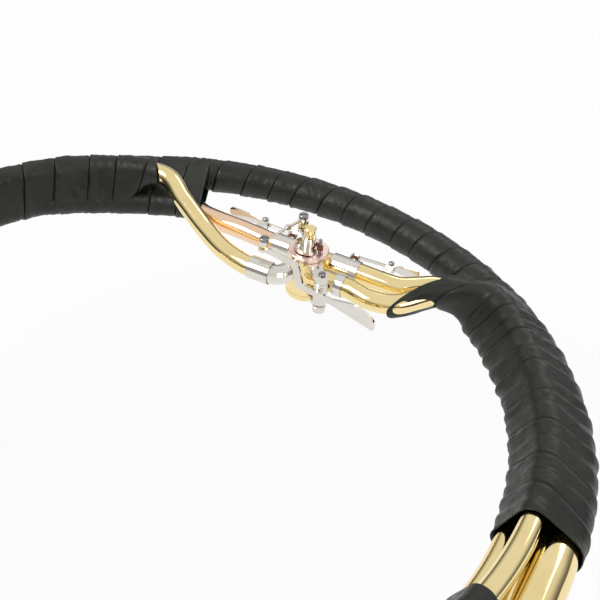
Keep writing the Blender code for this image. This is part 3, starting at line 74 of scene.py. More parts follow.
# Coil and tubing, as in the model
COIL_RADIUS = 230.0 * MM
TUBE_RADIUS = 6.5 * MM
TUBE_WALL = 0.5 * MM
BRANCH_RADIUS = 13.4 * MM
TAPER_START = -180.0
TAPER_END = -360.0
GAP = 0.3 * MM
FRONT_SEAT_LEFT = 50.0
FRONT_SEAT_RIGHT = 49.0
LOOP_SEAT_LEFT = -31.0
LOOP_SEAT_RIGHT = -5.0
SEAT_SPARE = 1.2 * MM
LOOP_SPARE = 3.0 * MM
MOUTHPIPE_STRAIGHT = 165.0 * MM
MOUTHPIPE_LIFT = 17.0 * MM
MOUTHPIPE_OUTSET = 2.0 * MM
MOUTHPIPE_TIP_RADIUS = 5.4 * MM
MOUTHPIPE_FERRULE_AT = 72.0 * MM
RECEIVER_LENGTH = 32.0 * MM
BELL_BRANCH_LENGTH = 46.0 * MM
BELL_RADIUS = 138.0 * MM
BELL_LENGTH = 420.0 * MM
BELL_FLARE = 0.75
BELL_WALL = 0.8 * MM
RIM_WIRE_RADIUS = 2.0 * MM
FERRULE_LENGTH = 15.0 * MM
STRAIGHT_PAST = 3.0 * MM
MOUTHPIECE_RIM_RADIUS = 12.6 * MM
WRAP_HIGH = 2.5 * MM

# Valve, as in the model
VALVE = Vector((22.8 * MM, 149.9 * MM, 0.0))
PORT_HEIGHT = 5.0 * MM
PORT_OFFSET = 8.9 * MM
FRONT_LEFT_OFFSET = 21.5 * MM
REAR_LEFT_FERRULE = -27.5 * MM
REAR_RIGHT_FERRULE = 13.4 * MM
REAR_RIGHT_FERRULE_LENGTH = 19.0 * MM
FRONT_LEFT_FERRULE = -29.4 * MM
FRONT_RIGHT_FERRULE = 24.4 * MM
FRONT_RIGHT_FERRULE_LENGTH = 6.0 * MM

# Wound tape
TAPE_SKIN = 1.9 * MM              # of the tape's outside from the tubes, under its ridges
TAPE_THICKNESS = 0.7 * MM
TAPE_COLUMNS = 96
TAPE_TABLE_STEP = 0.25
RIDGE_SPREAD = 0.35               # how much the ridges' height changes from place to place
CREASE_DEPTH = 0.16 * MM

# Light
FLOOR_DROP = 3 * MM
FLOOR_SIZE = 8.0
FLOOR_COLOUR = 0.86
HORIZON_LEVEL = 0.16
ZENITH_LEVEL = 0.85

PORT_PLANE = VALVE + Vector((0.0, 0.0, PORT_HEIGHT))


# Materials

def new_material(name):
    mat = bpy.data.materials.new(name)
    mat.use_nodes = True
    return mat, mat.node_tree, mat.node_tree.nodes["Principled BSDF"]


def node(tree, kind, inputs=None, **settings):
    made = tree.nodes.new(kind)
    for key, value in settings.items():
        setattr(made, key, value)
    for key, value in (inputs or {}).items():
        if isinstance(value, bpy.types.NodeSocket):
            tree.links.new(value, made.inputs[key])
        else:
            made.inputs[key].default_value = value
    return made


def noise(tree, scale, detail=3.0, roughness=0.55):
    place = node(tree, "ShaderNodeTexCoord").outputs["Object"]
    return node(tree, "ShaderNodeTexNoise",
                {"Vector": place, "Scale": scale, "Detail": detail, "Roughness": roughness}).outputs["Fac"]


def spread(tree, value, low, high, start=0.35, end=0.65):
    """A value between start and end, spread over low to high."""
    return node(tree, "ShaderNodeMapRange", {
        "Value": value, "From Min": start, "From Max": end, "To Min": low, "To Max": high}).outputs["Result"]


def blend_colours(tree, share, one, two):
    return node(tree, "ShaderNodeMix", {
        0: share, 6: (*one, 1.0), 7: (*two, 1.0)}, data_type="RGBA").outputs[2]


def bump(tree, shader, height, strength, distance):
    raised = node(tree, "ShaderNodeBump", {"Height": height, "Strength": strength, "Distance": distance})
    tree.links.new(raised.outputs["Normal"], shader.inputs["Normal"])


def metal(name, light, dark, rough, wave=0.05):
    """Polished metal: slow changes of tone, fine polishing marks and a faint unevenness."""
    mat, tree, shader = new_material(name)
    shader.inputs["Metallic"].default_value = 1.0
    tone = spread(tree, noise(tree, 28.0), 0.0, 1.0)
    tree.links.new(blend_colours(tree, tone, light, dark), shader.inputs["Base Color"])
    marks = spread(tree, noise(tree, 420.0, 5.0, 0.7), rough * 0.7, rough * 1.5)
    tree.links.new(marks, shader.inputs["Roughness"])
    bump(tree, shader, noise(tree, 90.0, 2.0), wave, 0.3 * MM)
    return mat


def tape():
    """Imitation leather: nearly black with a green cast, fine pores, and painted shade in the grooves where turns
    meet.
    """
    mat, tree, shader = new_material("wound_tape")
    worn = spread(tree, noise(tree, 75.0, 4.0), 0.0, 1.0, 0.4, 0.75)
    surface = blend_colours(tree, worn, (0.0085, 0.0100, 0.0062), (0.0170, 0.0190, 0.0125))
    # painted shade: the grooves between turns are darkened to near black and made matte
    seam_shade = node(tree, "ShaderNodeAttribute", attribute_name="seam_shade").outputs["Fac"]
    tree.links.new(node(tree, "ShaderNodeMix", {0: seam_shade, 6: surface, 7: (0.001, 0.001, 0.001, 1.0)},
                        data_type="RGBA").outputs[2], shader.inputs["Base Color"])
    grain = spread(tree, noise(tree, 160.0, 4.0), 0.34, 0.50)
    tree.links.new(node(tree, "ShaderNodeMix", {0: seam_shade, 2: grain, 3: 0.95}).outputs[0],
                   shader.inputs["Roughness"])
    shader.inputs["Specular IOR Level"].default_value = 0.42
    place = node(tree, "ShaderNodeTexCoord").outputs["Object"]
    pores = node(tree, "ShaderNodeTexVoronoi", {"Vector": place, "Scale": 900.0}).outputs["Distance"]
    creases = noise(tree, 240.0, 5.0, 0.65)
    height = node(tree, "ShaderNodeMath", {0: pores, 1: creases}, operation="ADD").outputs["Value"]
    bump(tree, shader, height, 0.30, 0.25 * MM)
    return mat


def soft_plain(name, one, two, rough):
    mat, tree, shader = new_material(name)
    share = spread(tree, noise(tree, 700.0, 4.0), 0.0, 1.0)
    tree.links.new(blend_colours(tree, share, one, two), shader.inputs["Base Color"])
    tree.links.new(spread(tree, noise(tree, 900.0), rough - 0.1, rough + 0.1), shader.inputs["Roughness"])
    bump(tree, shader, noise(tree, 1500.0, 4.0), 0.3, 0.1 * MM)
    return mat


FINISHES = {
    "brass": metal("polished_brass", (0.92, 0.76, 0.40), (0.88, 0.70, 0.34), 0.07),
    "rose_brass": metal("red_brass", (0.92, 0.66, 0.47), (0.88, 0.60, 0.40), 0.08),
    "nickel_silver": metal("nickel_silver", (0.80, 0.77, 0.71), (0.72, 0.69, 0.63), 0.09),
    "copper": metal("copper_plate", (0.95, 0.74, 0.68), (0.90, 0.66, 0.59), 0.22),
    "steel": metal("blued_steel", (0.40, 0.38, 0.37), (0.28, 0.27, 0.27), 0.2),
    "rubber": soft_plain("pad_cork", (0.30, 0.10, 0.06), (0.20, 0.06, 0.04), 0.7),
    "wrapping": tape()}


# Shapes

def box_middle():
    """Middle of the horn's box, from the centre of the coil."""
    right = COIL_RADIUS + BELL_RADIUS + 2 * RIM_WIRE_RADIUS + GAP * 1.5
    left = COIL_RADIUS + MOUTHPIPE_OUTSET + MOUTHPIECE_RIM_RADIUS
    front = BELL_BRANCH_LENGTH + GAP + BELL_LENGTH + RIM_WIRE_RADIUS
    rear = COIL_RADIUS + main_radius(-270.0) + WRAP_HIGH
    return Vector(((right - left) / 2, (rear - front) / 2, 0.0))


def body_of(name):
    return next(body for body, names in frame["record"]["behaviour"]["bodies"].items() if name in names)


def slot_of(name):
    return next(row["material_slot"] for row in frame["record"]["subparts"] if row["node"] == name)


def add_piece(name, vertices, faces, *nodes, crease=35.0, merge=True, values=None):
    """A piece that rides with the first of the nodes and stands for all of them."""
    mesh = bpy.data.meshes.new(name)
    mesh.from_pydata([tuple(v) for v in vertices], [], faces)
    if values is not None:
        # a per-point share of painted shade, for the grooves between tape turns
        mesh.attributes.new("seam_shade", "FLOAT", "POINT").data.foreach_set("value", values.astype(np.float32))
    piece = bpy.data.objects.new(name, mesh)
    bpy.context.scene.collection.objects.link(piece)
    if merge:
        weld(mesh)
    mesh.shade_smooth()
    mesh.set_sharp_from_angle(angle=math.radians(crease))
    piece.location = -MIDDLE
    slot = slot_of(nodes[0])
    mesh.materials.append(FINISHES[slot])
    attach(piece, body_of(nodes[0]))
    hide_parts(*nodes)
    return piece


def weld(mesh):
    import bmesh
    bm = bmesh.new()
    bm.from_mesh(mesh)
    bmesh.ops.remove_doubles(bm, verts=bm.verts, dist=0.002 * MM)
    bmesh.ops.dissolve_degenerate(bm, edges=bm.edges, dist=0.001 * MM)
    bmesh.ops.recalc_face_normals(bm, faces=bm.faces)
    bm.to_mesh(mesh)
    bm.free()


def loft(rings, round_again=False):
    """Vertices and faces of a skin through closed rings, given as an array (rings, sides, 3)."""
    count, sides = rings.shape[:2]
    faces = []
    for i in range(count if round_again else count - 1):
        low = i * sides
        high = (i + 1) % count * sides
        faces += [(low + k, low + (k + 1) % sides, high + (k + 1) % sides, high + k) for k in range(sides)]
    return rings.reshape(-1, 3), faces


def frames_along(points):
    """Two directions across a line at each of its points, with no twist between points."""
    ahead = np.gradient(points, axis=0)
    ahead /= np.linalg.norm(ahead, axis=1)[:, None]
    side = np.cross(ahead[0], UP if abs(ahead[0][2]) < 0.9 else (1.0, 0.0, 0.0))
    sides = []
    for direction in ahead:
        side = side - direction * side.dot(direction)
        side /= np.linalg.norm(side)
        sides.append(side)
    sides = np.array(sides)
    return sides, np.cross(ahead, sides)


def round_rings(points, radii, sides):
    one, two = frames_along(points)
    turn = np.linspace(0.0, math.tau, sides, endpoint=False)
    around = (np.cos(turn)[None, :, None] * one[:, None, :] + np.sin(turn)[None, :, None] * two[:, None, :])
    return points[:, None, :] + around * np.asarray(radii)[:, None, None]


def pipe(name, route, start, end, radius, *nodes, sides=48, spacing=2.0 * MM, wall=TUBE_WALL):
    """An open tube along a route, with its wall to be seen at both ends."""
    stations = np.linspace(start, end, max(3, int((end - start) / spacing)))
    points = np.array([route.point(s) for s in stations])
    radii = np.array([radius(s) for s in stations]) if callable(radius) else np.full(len(stations), radius)
    outer = round_rings(points, radii, sides)
    inner = round_rings(points, radii - wall, sides)
    return add_piece(name, *loft(np.concatenate([outer, inner[::-1]]), True), *nodes, merge=False)


def softened(profile, fillet, count=4):
    """A closed profile of (radius, height) corners, each corner rounded off."""
    outline = []
    total = len(profile)
    for i, corner in enumerate(profile):
        here = Vector(corner)
        before = Vector(profile[i - 1]) - here
        after = Vector(profile[(i + 1) % total]) - here
        if min(before.length, after.length) < 0.01 * MM or before.angle(after) > math.radians(172):
            outline.append(here)
            continue
        reach = min(fillet, 0.45 * before.length, 0.45 * after.length)
        one = here + before.normalized() * reach
        two = here + after.normalized() * reach
        for k in range(count):
            t = k / (count - 1)
            outline.append(one * (1 - t) ** 2 + here * 2 * t * (1 - t) + two * t * t)
    return outline


def turned(name, profile, place, axis, *nodes, steps=72, fillet=0.3 * MM, crease=35.0):
    """A closed profile of (radius, height) corners turned about an axis."""
    z = np.array(Vector(axis).normalized())
    x = np.cross(z, (0.0, 0.0, 1.0) if abs(z[2]) < 0.9 else (1.0, 0.0, 0.0))
    x /= np.linalg.norm(x)
    y = np.cross(z, x)
    turn = np.linspace(0.0, math.tau, steps, endpoint=False)
    around = np.cos(turn)[:, None] * x + np.sin(turn)[:, None] * y
    outline = softened(profile, fillet) if fillet else profile
    rings = np.array([np.array(place) + around * max(r, 0.0) + z * h for r, h in outline])
    return add_piece(name, *loft(rings, True), *nodes, crease=crease)


# Routes of the tubes

def polar(angle, radius, height):
    a = math.radians(angle)
    return Vector((radius * math.cos(a), radius * math.sin(a), height))


def main_radius(angle):
    """Outside radius of the main tube at a coil angle of its own turn."""
    share = (TAPER_START - angle) / (TAPER_START - TAPER_END)
    return TUBE_RADIUS + (BRANCH_RADIUS - TUBE_RADIUS) * max(0.0, share)


def seat(angle, direction, spare):
    """Centre of a tube that lies against the outermost one, in a direction seen in its section."""
    reach = main_radius(angle % 360.0 - 360.0) + TUBE_RADIUS + GAP + spare
    tilt = math.radians(direction)
    return polar(angle, COIL_RADIUS - reach * math.cos(tilt), reach * math.sin(tilt))


def by_valve(x, y, z=0.0):
    return PORT_PLANE + Vector((x, y, z))


class Route:
    """A smooth line through points, measured by its length and by its angle on the coil."""

    def __init__(self, points, spacing=1.0 * MM):
        p = np.array(points, dtype=float)
        gaps = np.linalg.norm(np.diff(p, axis=0), axis=1) ** 0.5
        t = np.concatenate([[0.0], np.cumsum(gaps)])
        slopes = np.zeros_like(p)
        for i in range(1, len(p) - 1):
            left = (p[i] - p[i - 1]) / (t[i] - t[i - 1])
            right = (p[i + 1] - p[i]) / (t[i + 1] - t[i])
            slopes[i] = (left * (t[i + 1] - t[i]) + right * (t[i] - t[i - 1])) / (t[i + 1] - t[i - 1])
        slopes[0] = (p[1] - p[0]) / (t[1] - t[0])
        slopes[-1] = (p[-1] - p[-2]) / (t[-1] - t[-2])
        dense = []
        for i in range(len(p) - 1):
            span = t[i + 1] - t[i]
            for u in np.linspace(0.0, 1.0, 60, endpoint=False):
                dense.append(
                    p[i] * (2 * u**3 - 3 * u**2 + 1) + slopes[i] * span * (u**3 - 2 * u**2 + u)
                    + p[i + 1] * (3 * u**2 - 2 * u**3) + slopes[i + 1] * span * (u**3 - u**2))
        dense.append(p[-1])
        dense = np.array(dense)
        length = np.concatenate([[0.0], np.cumsum(np.linalg.norm(np.diff(dense, axis=0), axis=1))])
        count = int(length[-1] / spacing) + 1
        self.at = np.linspace(0.0, length[-1], count)
        self.points = np.stack([np.interp(self.at, length, dense[:, k]) for k in range(3)], 1)
        turn = np.unwrap(np.arctan2(self.points[:, 1], self.points[:, 0]))
        self.angle = np.degrees(turn)
        self.length = length[-1]

    def point(self, at):
        return Vector([np.interp(at, self.at, self.points[:, k]) for k in range(3)])

    def when(self, angle):
        """Length at which the route passes a coil angle, on its way round clockwise."""
        return float(np.interp(-angle, -self.angle, self.at))

    def angle_at(self, at):
        return float(np.interp(at, self.at, self.angle))

    def across(self, angle):
        """Centre (radius, height) where the route crosses a coil angle, and its slopes there."""
        at = self.when(angle)
        here = self.point(at)
        ahead = (self.point(at + 2 * MM) - self.point(at - 2 * MM)).normalized()
        outward = Vector((here.x, here.y, 0.0)).normalized()
        round_coil = Vector((outward.y, -outward.x, 0.0))
        pace = max(0.35, abs(ahead.dot(round_coil)))
        return math.hypot(here.x, here.y), here.z, ahead.dot(outward) / pace, ahead.z / pace


def beside_valve(ferrule_edge, across):
    """The straight stretch of a tube from the rotor's axis out past a ferrule's outer edge."""
    past = math.copysign(STRAIGHT_PAST, ferrule_edge)
    return [by_valve(x, across) for x in (0.0, ferrule_edge - past / 2, ferrule_edge + past)]


def coil_point(angle, inset, lift):
    return polar(angle, COIL_RADIUS - inset, lift)


def inlet_route():
    """From the mouthpipe's tip to the valve's front left port."""
    out = COIL_RADIUS + MOUTHPIPE_OUTSET
    lead = [Vector((-out, -MOUTHPIPE_STRAIGHT * s, MOUTHPIPE_LIFT)) for s in (1.0, 0.66, 0.33, 0.0)]
    bundle = [seat(a, FRONT_SEAT_LEFT, SEAT_SPARE) for a in (150.0, 136.0)]
    near = [(-120.5, 22.6, 12.2), (-97.5, 10.0, 7.4), (-73.0, -3.6, 1.6), (-52.0, -15.2, 0.0)]
    bends = [by_valve(x * MM, y * MM, z * MM) for x, y, z in near]
    return Route([*lead, *bundle, *bends, *beside_valve(FRONT_LEFT_FERRULE, -FRONT_LEFT_OFFSET)[::-1]])


def main_route():
    """From the valve's front right port, once round, to the end of the bell branch."""
    ferrule_end = FRONT_RIGHT_FERRULE + FRONT_RIGHT_FERRULE_LENGTH
    start = beside_valve(ferrule_end, -PORT_OFFSET)
    near = [(49.5, -12.3, 0.0), (64.8, -8.4, 0.4), (76.2, 1.2, 3.0), (87.4, 8.8, 6.8)]
    bends = [by_valve(x * MM, y * MM, z * MM) for x, y, z in near]
    bundle = [seat(a, FRONT_SEAT_RIGHT, SEAT_SPARE) for a in (50.0, 42.0, 28.0, 14.0, 0.0)]
    last = bundle[-1]
    inset, lift = COIL_RADIUS - last.x, last.z
    crossing = []
    for angle in range(-15, -180, -15):
        share = max(0.0, 1.0 - (angle + 15.0) / -105.0)
        ease = share * share * (3.0 - 2.0 * share)
        crossing.append(coil_point(angle, inset * ease, lift * ease))
    outer = [coil_point(angle, 0.0, 0.0) for angle in range(-180, -361, -12)]
    branch = [Vector((COIL_RADIUS, -BELL_BRANCH_LENGTH * s, 0.0)) for s in (0.4, 0.7, 1.0)]
    return Route([*start, *bends, *bundle, *crossing, *outer, *branch])


def loop_route():
    """The valve loop, from the rear right port once round to the rear left port."""
    ferrule_end = REAR_RIGHT_FERRULE + REAR_RIGHT_FERRULE_LENGTH
    start = beside_valve(ferrule_end, PORT_OFFSET)
    near = [(47.0, 8.6, 0.0), (60.0, 9.6, 0.0), (70.3, 16.4, 0.0), (80.0, 22.6, 0.0), (91.0, 23.0, -1.0)]
    bends = [by_valve(x * MM, y * MM, z * MM) for x, y, z in near]
    right = [seat(a, LOOP_SEAT_RIGHT, LOOP_SPARE) for a in (51.0, 44.0, 30.0, 15.0, 0.0)]
    last = right[-1]
    first = seat(-180.0, LOOP_SEAT_LEFT, LOOP_SPARE)
    inset = (COIL_RADIUS - last.x, COIL_RADIUS + first.x)
    lift = (last.z, first.z)
    front = []
    for angle in range(-15, -180, -15):
        share = angle / -180.0
        ease = share * share * (3.0 - 2.0 * share)
        front.append(coil_point(
            angle, inset[0] + (inset[1] - inset[0]) * ease, lift[0] + (lift[1] - lift[0]) * ease))
    left = [seat(a, LOOP_SEAT_LEFT, LOOP_SPARE) for a in (-180.0, -195.0, -210.0, -220.0)]
    home = [(-103.0, 26.0, -8.5), (-83.0, 17.4, -4.0), (-67.0, 12.8, -1.2), (-50.0, 10.5, 0.0)]
    back = [by_valve(x * MM, y * MM, z * MM) for x, y, z in home]
    end = beside_valve(REAR_LEFT_FERRULE, PORT_OFFSET)[::-1]
    return Route([*start, *bends, *right, *front, *left, *back, *end])


MIDDLE = box_middle()
INLET = inlet_route()
MAIN = main_route()
LOOP = loop_route()


# Tubes

def build_tubes():
    ferrule_at = MOUTHPIPE_STRAIGHT - MOUTHPIPE_FERRULE_AT
    joint = ferrule_at + FERRULE_LENGTH / 2

    def taper(at):
        return MOUTHPIPE_TIP_RADIUS + (TUBE_RADIUS - MOUTHPIPE_TIP_RADIUS) * min(1.0, at / ferrule_at)

    pipe("mouthpipe_tube", INLET, RECEIVER_LENGTH / 2, joint - GAP / 2, taper, "mouthpipe")
    left_end = INLET.length + FRONT_LEFT_FERRULE + FERRULE_LENGTH / 2
    pipe("front_left_pipe", INLET, joint + GAP / 2, left_end, TUBE_RADIUS, "front_left_tube")
    right_start = FRONT_RIGHT_FERRULE + FRONT_RIGHT_FERRULE_LENGTH / 2 + GAP / 2
    pipe("front_right_pipe", MAIN, right_start, MAIN.when(40.0), TUBE_RADIUS, "front_right_tube")
    half = MAIN.when(-178.0)
    third = MAIN.when(-345.0)
    pipe("main_bow_front_pipe", MAIN, MAIN.when(40.0) + GAP, half, TUBE_RADIUS, "main_bow_front", spacing=4 * MM)
    pipe("main_bow_rear_pipe", MAIN, half + GAP, third, lambda at: main_radius(MAIN.angle_at(at)),
         "main_bow_rear", spacing=4 * MM)

    def branch(at):
        beyond = max(0.0, at - MAIN.when(-359.9))
        growth = (BRANCH_RADIUS - TUBE_RADIUS) / math.radians(TAPER_START - TAPER_END) / COIL_RADIUS
        return main_radius(max(MAIN.angle_at(at), -360.0)) + beyond * growth

    pipe("bell_branch_pipe", MAIN, third + GAP, MAIN.length, branch, "bell_branch", sides=64)
    rear_start = REAR_RIGHT_FERRULE + REAR_RIGHT_FERRULE_LENGTH / 2 + GAP / 2
    pipe("rear_right_pipe", LOOP, rear_start, LOOP.when(40.0), TUBE_RADIUS, "rear_right_tube")
    pipe("loop_bow_pipe", LOOP, LOOP.when(40.0) + GAP, LOOP.when(-230.0), TUBE_RADIUS, "loop_bow", spacing=4 * MM)
    rear_end = LOOP.length + REAR_LEFT_FERRULE + FERRULE_LENGTH / 2
    pipe("rear_left_pipe", LOOP, LOOP.when(-230.0) + GAP, rear_end, TUBE_RADIUS, "rear_left_tube")
    return branch(MAIN.length)


def build_bell(throat):
    towards = np.array((0.0, -1.0, 0.0))
    mouth = np.array((COIL_RADIUS, -BELL_BRANCH_LENGTH - GAP, 0.0))
    start = BELL_LENGTH / ((BELL_RADIUS / throat) ** (1.0 / BELL_FLARE) - 1.0)
    outer = []
    for u in np.linspace(0.0, 1.0, 90):
        to_rim = BELL_LENGTH * (1.0 - u) ** 1.9
        outer.append((BELL_RADIUS * ((start + to_rim) / start) ** -BELL_FLARE, BELL_LENGTH - to_rim))
    outer = np.array(outer)
    slope = np.gradient(outer, axis=0)
    slope /= np.linalg.norm(slope, axis=1)[:, None]
    inner = outer + np.stack([-slope[:, 1], slope[:, 0]], 1) * BELL_WALL
    inner[-1, 1] = min(inner[-1, 1], BELL_LENGTH)
    profile = [tuple(p) for p in np.concatenate([outer, inner[::-1]])]
    turned("bell_flare", profile, mouth, towards, "bell", steps=160, fillet=0.0, crease=40.0)
    middle = BELL_RADIUS + RIM_WIRE_RADIUS + GAP * 1.5
    turn = np.linspace(0.0, math.tau, 24, endpoint=False)
    bead = [(middle + RIM_WIRE_RADIUS * math.cos(a), RIM_WIRE_RADIUS * math.sin(a)) for a in turn]
    turned("bell_rim", bead, mouth + towards * BELL_LENGTH, towards, "bell_rim_wire", steps=160, fillet=0.0)


# Wound tape

def hull(tubes, angle, directions):
    """Where a skin pulled round tubes touches them, at a coil angle, for each facing direction."""
    facing = np.stack([np.cos(directions), np.sin(directions)], 1)
    best = np.full(len(directions), -1.0)
    points = np.zeros_like(facing)
    for route, turn in tubes:
        radius, height, outward, upward = route.across(angle + turn)
        size = main_radius(angle + turn) if route is MAIN else TUBE_RADIUS
        lean = np.array((outward, upward))
        along = facing @ lean
        stretch = np.sqrt(1.0 + along ** 2)
        touch = np.array((radius, height)) + size * (facing + along[:, None] * lean) / stretch[:, None]
        reach = np.einsum("ij,ij->i", touch, facing)
        further = reach > best
        best[further] = reach[further]
        points[further] = touch[further]
    return points, facing


def ring_section(groups, angle, share, columns):
    """A skin's closed outline at a coil angle, evenly divided, and the way out at each of its points.

    groups are two bundles of tubes: the outline goes from the first to the second as share grows.
    """
    directions = np.linspace(0.0, math.tau, 360, endpoint=False)
    points, facing = hull(groups[0], angle, directions)
    if share > 0.0:
        points = points * (1.0 - share) + hull(groups[1], angle, directions)[0] * share
    points = points + facing * TAPE_SKIN
    looped = np.concatenate([points, points[:1]])
    length = np.concatenate([[0.0], np.cumsum(np.linalg.norm(np.diff(looped, axis=0), axis=1))])
    even = np.linspace(0.0, length[-1], columns, endpoint=False)
    outline = np.stack([np.interp(even, length, looped[:, k]) for k in range(2)], 1)
    for _ in range(3):
        outline = (np.roll(outline, 1, 0) + outline * 2 + np.roll(outline, -1, 0)) / 4
    along = np.roll(outline, -1, 0) - np.roll(outline, 1, 0)
    along /= np.linalg.norm(along, axis=1)[:, None]
    return outline, np.stack([along[:, 1], -along[:, 0]], 1)


def ripple(u, v, seed, waves=9, fine=3.0):
    """A smooth random number about zero for each place u (any) and v (once round is 1)."""
    chance = np.random.RandomState(seed)
    total = np.zeros(np.broadcast(u, v).shape)
    for _ in range(waves):
        pace = chance.uniform(0.2, fine)
        round_count = chance.randint(0, 5)
        total += np.sin(math.tau * (pace * u + round_count * v + chance.uniform()))
    return total / waves ** 0.5


# Height of the tape over one turn, from the edge where it begins
LAPPED = ((0.0, 0.025, 0.055, 0.11, 0.35, 0.7, 0.93, 0.975, 1.0),
          (-0.75, 0.25, 0.62, 0.70, 0.48, 0.18, 0.02, -0.15, -0.75))
RIDGED = ((0.0, 0.03, 0.07, 0.13, 0.22, 0.33, 0.45, 0.5, 0.55, 0.62, 0.72, 0.85, 0.95, 1.0),
          (-0.35, 0.45, 0.98, 1.20, 0.95, 0.50, 0.10, 0.15, 0.62, 0.90, 0.62, 0.16, -0.05, -0.35))
SMOOTH = ((0.0, 0.04, 0.10, 0.2, 0.5, 0.8, 0.95, 1.0),
          (-0.45, 0.30, 0.62, 0.66, 0.35, 0.08, -0.1, -0.45))


def wind(name, groups, start, end, width, form, seed, narrow=None, hang=None):
    """Tape wound round bundles of tubes from one coil angle down to another.

    narrow is (from, to): between these coil angles the skin goes over from the first bundle to the
    second, or the other way round when from is the lower angle.
    """
    pitch = math.degrees(width / COIL_RADIUS)
    turns = (start - end) / pitch
    grid = np.linspace(end - 1.0, start + 1.0, int((start - end + 2.0) / TAPE_TABLE_STEP) + 1)
    outlines = []
    normals = []
    for angle in grid:
        share = 0.0
        if narrow:
            share = float(np.clip((angle - narrow[0]) / (narrow[1] - narrow[0]), 0.0, 1.0))
            share = share * share * (3.0 - 2.0 * share)
        outline, out = ring_section(groups, angle, share, TAPE_COLUMNS)
        outlines.append(outline)
        normals.append(out)
    outlines = np.array(outlines)
    normals = np.array(normals)

    fractions = np.array(sorted({*form[0][:-1], *np.linspace(0.15, 0.9, 8)}))
    rows = (np.arange(int(turns) + 3)[:, None] + fractions[None, :]).ravel()
    share_round = np.linspace(0.0, 1.0, TAPE_COLUMNS + 1)
    x = rows[:, None] - share_round[None, :]
    inside = (x > 0.0) & (x < turns)
    x = np.clip(x, 0.0, turns)
    fraction = np.where(inside, (rows % 1.0)[:, None], (x + share_round[None, :]) % 1.0)
    wander = 0.06 * np.sin(math.tau * 0.37 * x + seed) + 0.04 * np.sin(math.tau * 0.83 * x + 2 * seed)
    wander *= np.clip(np.minimum(x, turns - x), 0.0, 1.0)
    angle = start - pitch * (x + wander)
    spot = (angle - grid[0]) / (grid[1] - grid[0])
    low = np.clip(spot.astype(int), 0, len(grid) - 2)
    part = (spot - low)[..., None]
    column = np.broadcast_to(np.arange(TAPE_COLUMNS + 1) % TAPE_COLUMNS, x.shape)
    place = outlines[low, column] * (1 - part) + outlines[low + 1, column] * part
    out = normals[low, column] * (1 - part) + normals[low + 1, column] * part

    ridge = np.interp(fraction, *form) * MM
    swell = 1.0 + RIDGE_SPREAD * ripple(x * 0.8, share_round[None, :], seed + 1)
    height = ridge * np.clip(swell, 0.35, 1.8)
    height += CREASE_DEPTH * ripple(x * 3.0, share_round[None, :], seed + 2, 14, 6.0)
    place = place + out * height[..., None]
    if hang:
        place = place + hang(angle, place)
    turn = np.radians(angle)
    vertices = np.stack([place[..., 0] * np.cos(turn), place[..., 0] * np.sin(turn), place[..., 1]], -1)
    # share of painted shade at each point, highest in the groove at a turn's edges
    seam_shade = np.clip(1.0 - np.minimum(fraction, 1.0 - fraction) * width / (0.55 * MM), 0.0, 1.0) * inside

    across = TAPE_COLUMNS + 1
    index = np.arange(vertices.shape[0] * across).reshape(vertices.shape[0], across)
    faces = []
    for i in range(len(rows) - 1):
        alive = np.ptp(x[i:i + 2], axis=0) > 1e-9
        for k in range(TAPE_COLUMNS):
            if alive[k] or alive[k + 1]:
                faces.append((index[i, k], index[i + 1, k], index[i + 1, k + 1], index[i, k + 1]))
    faces = [tuple(int(v) for v in face) for face in faces]
    piece = add_piece("tape_" + name[5:], vertices.reshape(-1, 3), faces, name, crease=60.0,
                      values=seam_shade.ravel())
    skin = piece.modifiers.new("thickness", "SOLIDIFY")
    skin.thickness = TAPE_THICKNESS
    skin.offset = -1.0
    return piece


def build_tape():
    outer = (MAIN, -360.0)
    wind("wrap_left", [[outer, (INLET, -360.0), (LOOP, -360.0)], [(INLET, -360.0)]],
         176.0, 121.0, 22.0 * MM, LAPPED, 3, narrow=(129.5, 121.5))
    wind("wrap_fork", [[outer, (LOOP, -360.0)]], 142.0, 111.9, 22.0 * MM, LAPPED, 5)
    wind("wrap_arc", [[outer]], 118.0, 46.0, 20.0 * MM, LAPPED, 7)
    wind("wrap_right", [[outer, (MAIN, 0.0), (LOOP, 0.0)], [(MAIN, 0.0)]],
         57.0, 2.0, 26.0 * MM, RIDGED, 11, narrow=(50.0, 57.0))
    wind("wrap_front_right", [[(MAIN, 0.0), (LOOP, 0.0)]], -13.0, -94.0, 24.0 * MM, SMOOTH, 13)
    wind("wrap_front_left", [[(MAIN, 0.0), (LOOP, 0.0)]], -94.2, -177.0, 24.0 * MM, SMOOTH, 17)


def dress_nodes():
    for name, obj in frame["nodes"].items():
        obj.data.materials.clear()
        obj.data.materials.append(FINISHES[slot_of(name)])


# Surroundings

def build_floor():
    low, high = CAD_BOX
    bpy.ops.mesh.primitive_plane_add(size=FLOOR_SIZE, location=(0.0, 0.0, low.z - FLOOR_DROP))
    floor = bpy.context.object
    floor.name = "floor"
    mat, tree, shader = new_material("pale_floor")
    shader.inputs["Base Color"].default_value = (FLOOR_COLOUR, FLOOR_COLOUR, FLOOR_COLOUR, 1.0)
    shader.inputs["Roughness"].default_value = 0.8
    white = node(tree, "ShaderNodeEmission", {"Color": (1.0, 1.0, 1.0, 1.0), "Strength": 1.0})
    path = node(tree, "ShaderNodeLightPath")
    seen = node(tree, "ShaderNodeMath", {0: path.outputs["Is Camera Ray"], 1: path.outputs["Is Glossy Ray"]},
                operation="MAXIMUM")
    share = node(tree, "ShaderNodeMath", {0: seen.outputs["Value"], 1: 0.85}, operation="MULTIPLY")
    mixed = node(tree, "ShaderNodeMixShader", {0: share.outputs["Value"]})
    tree.links.new(shader.outputs["BSDF"], mixed.inputs[1])
    tree.links.new(white.outputs["Emission"], mixed.inputs[2])
    tree.links.new(mixed.outputs["Shader"], tree.nodes["Material Output"].inputs["Surface"])
    floor.data.materials.append(mat)


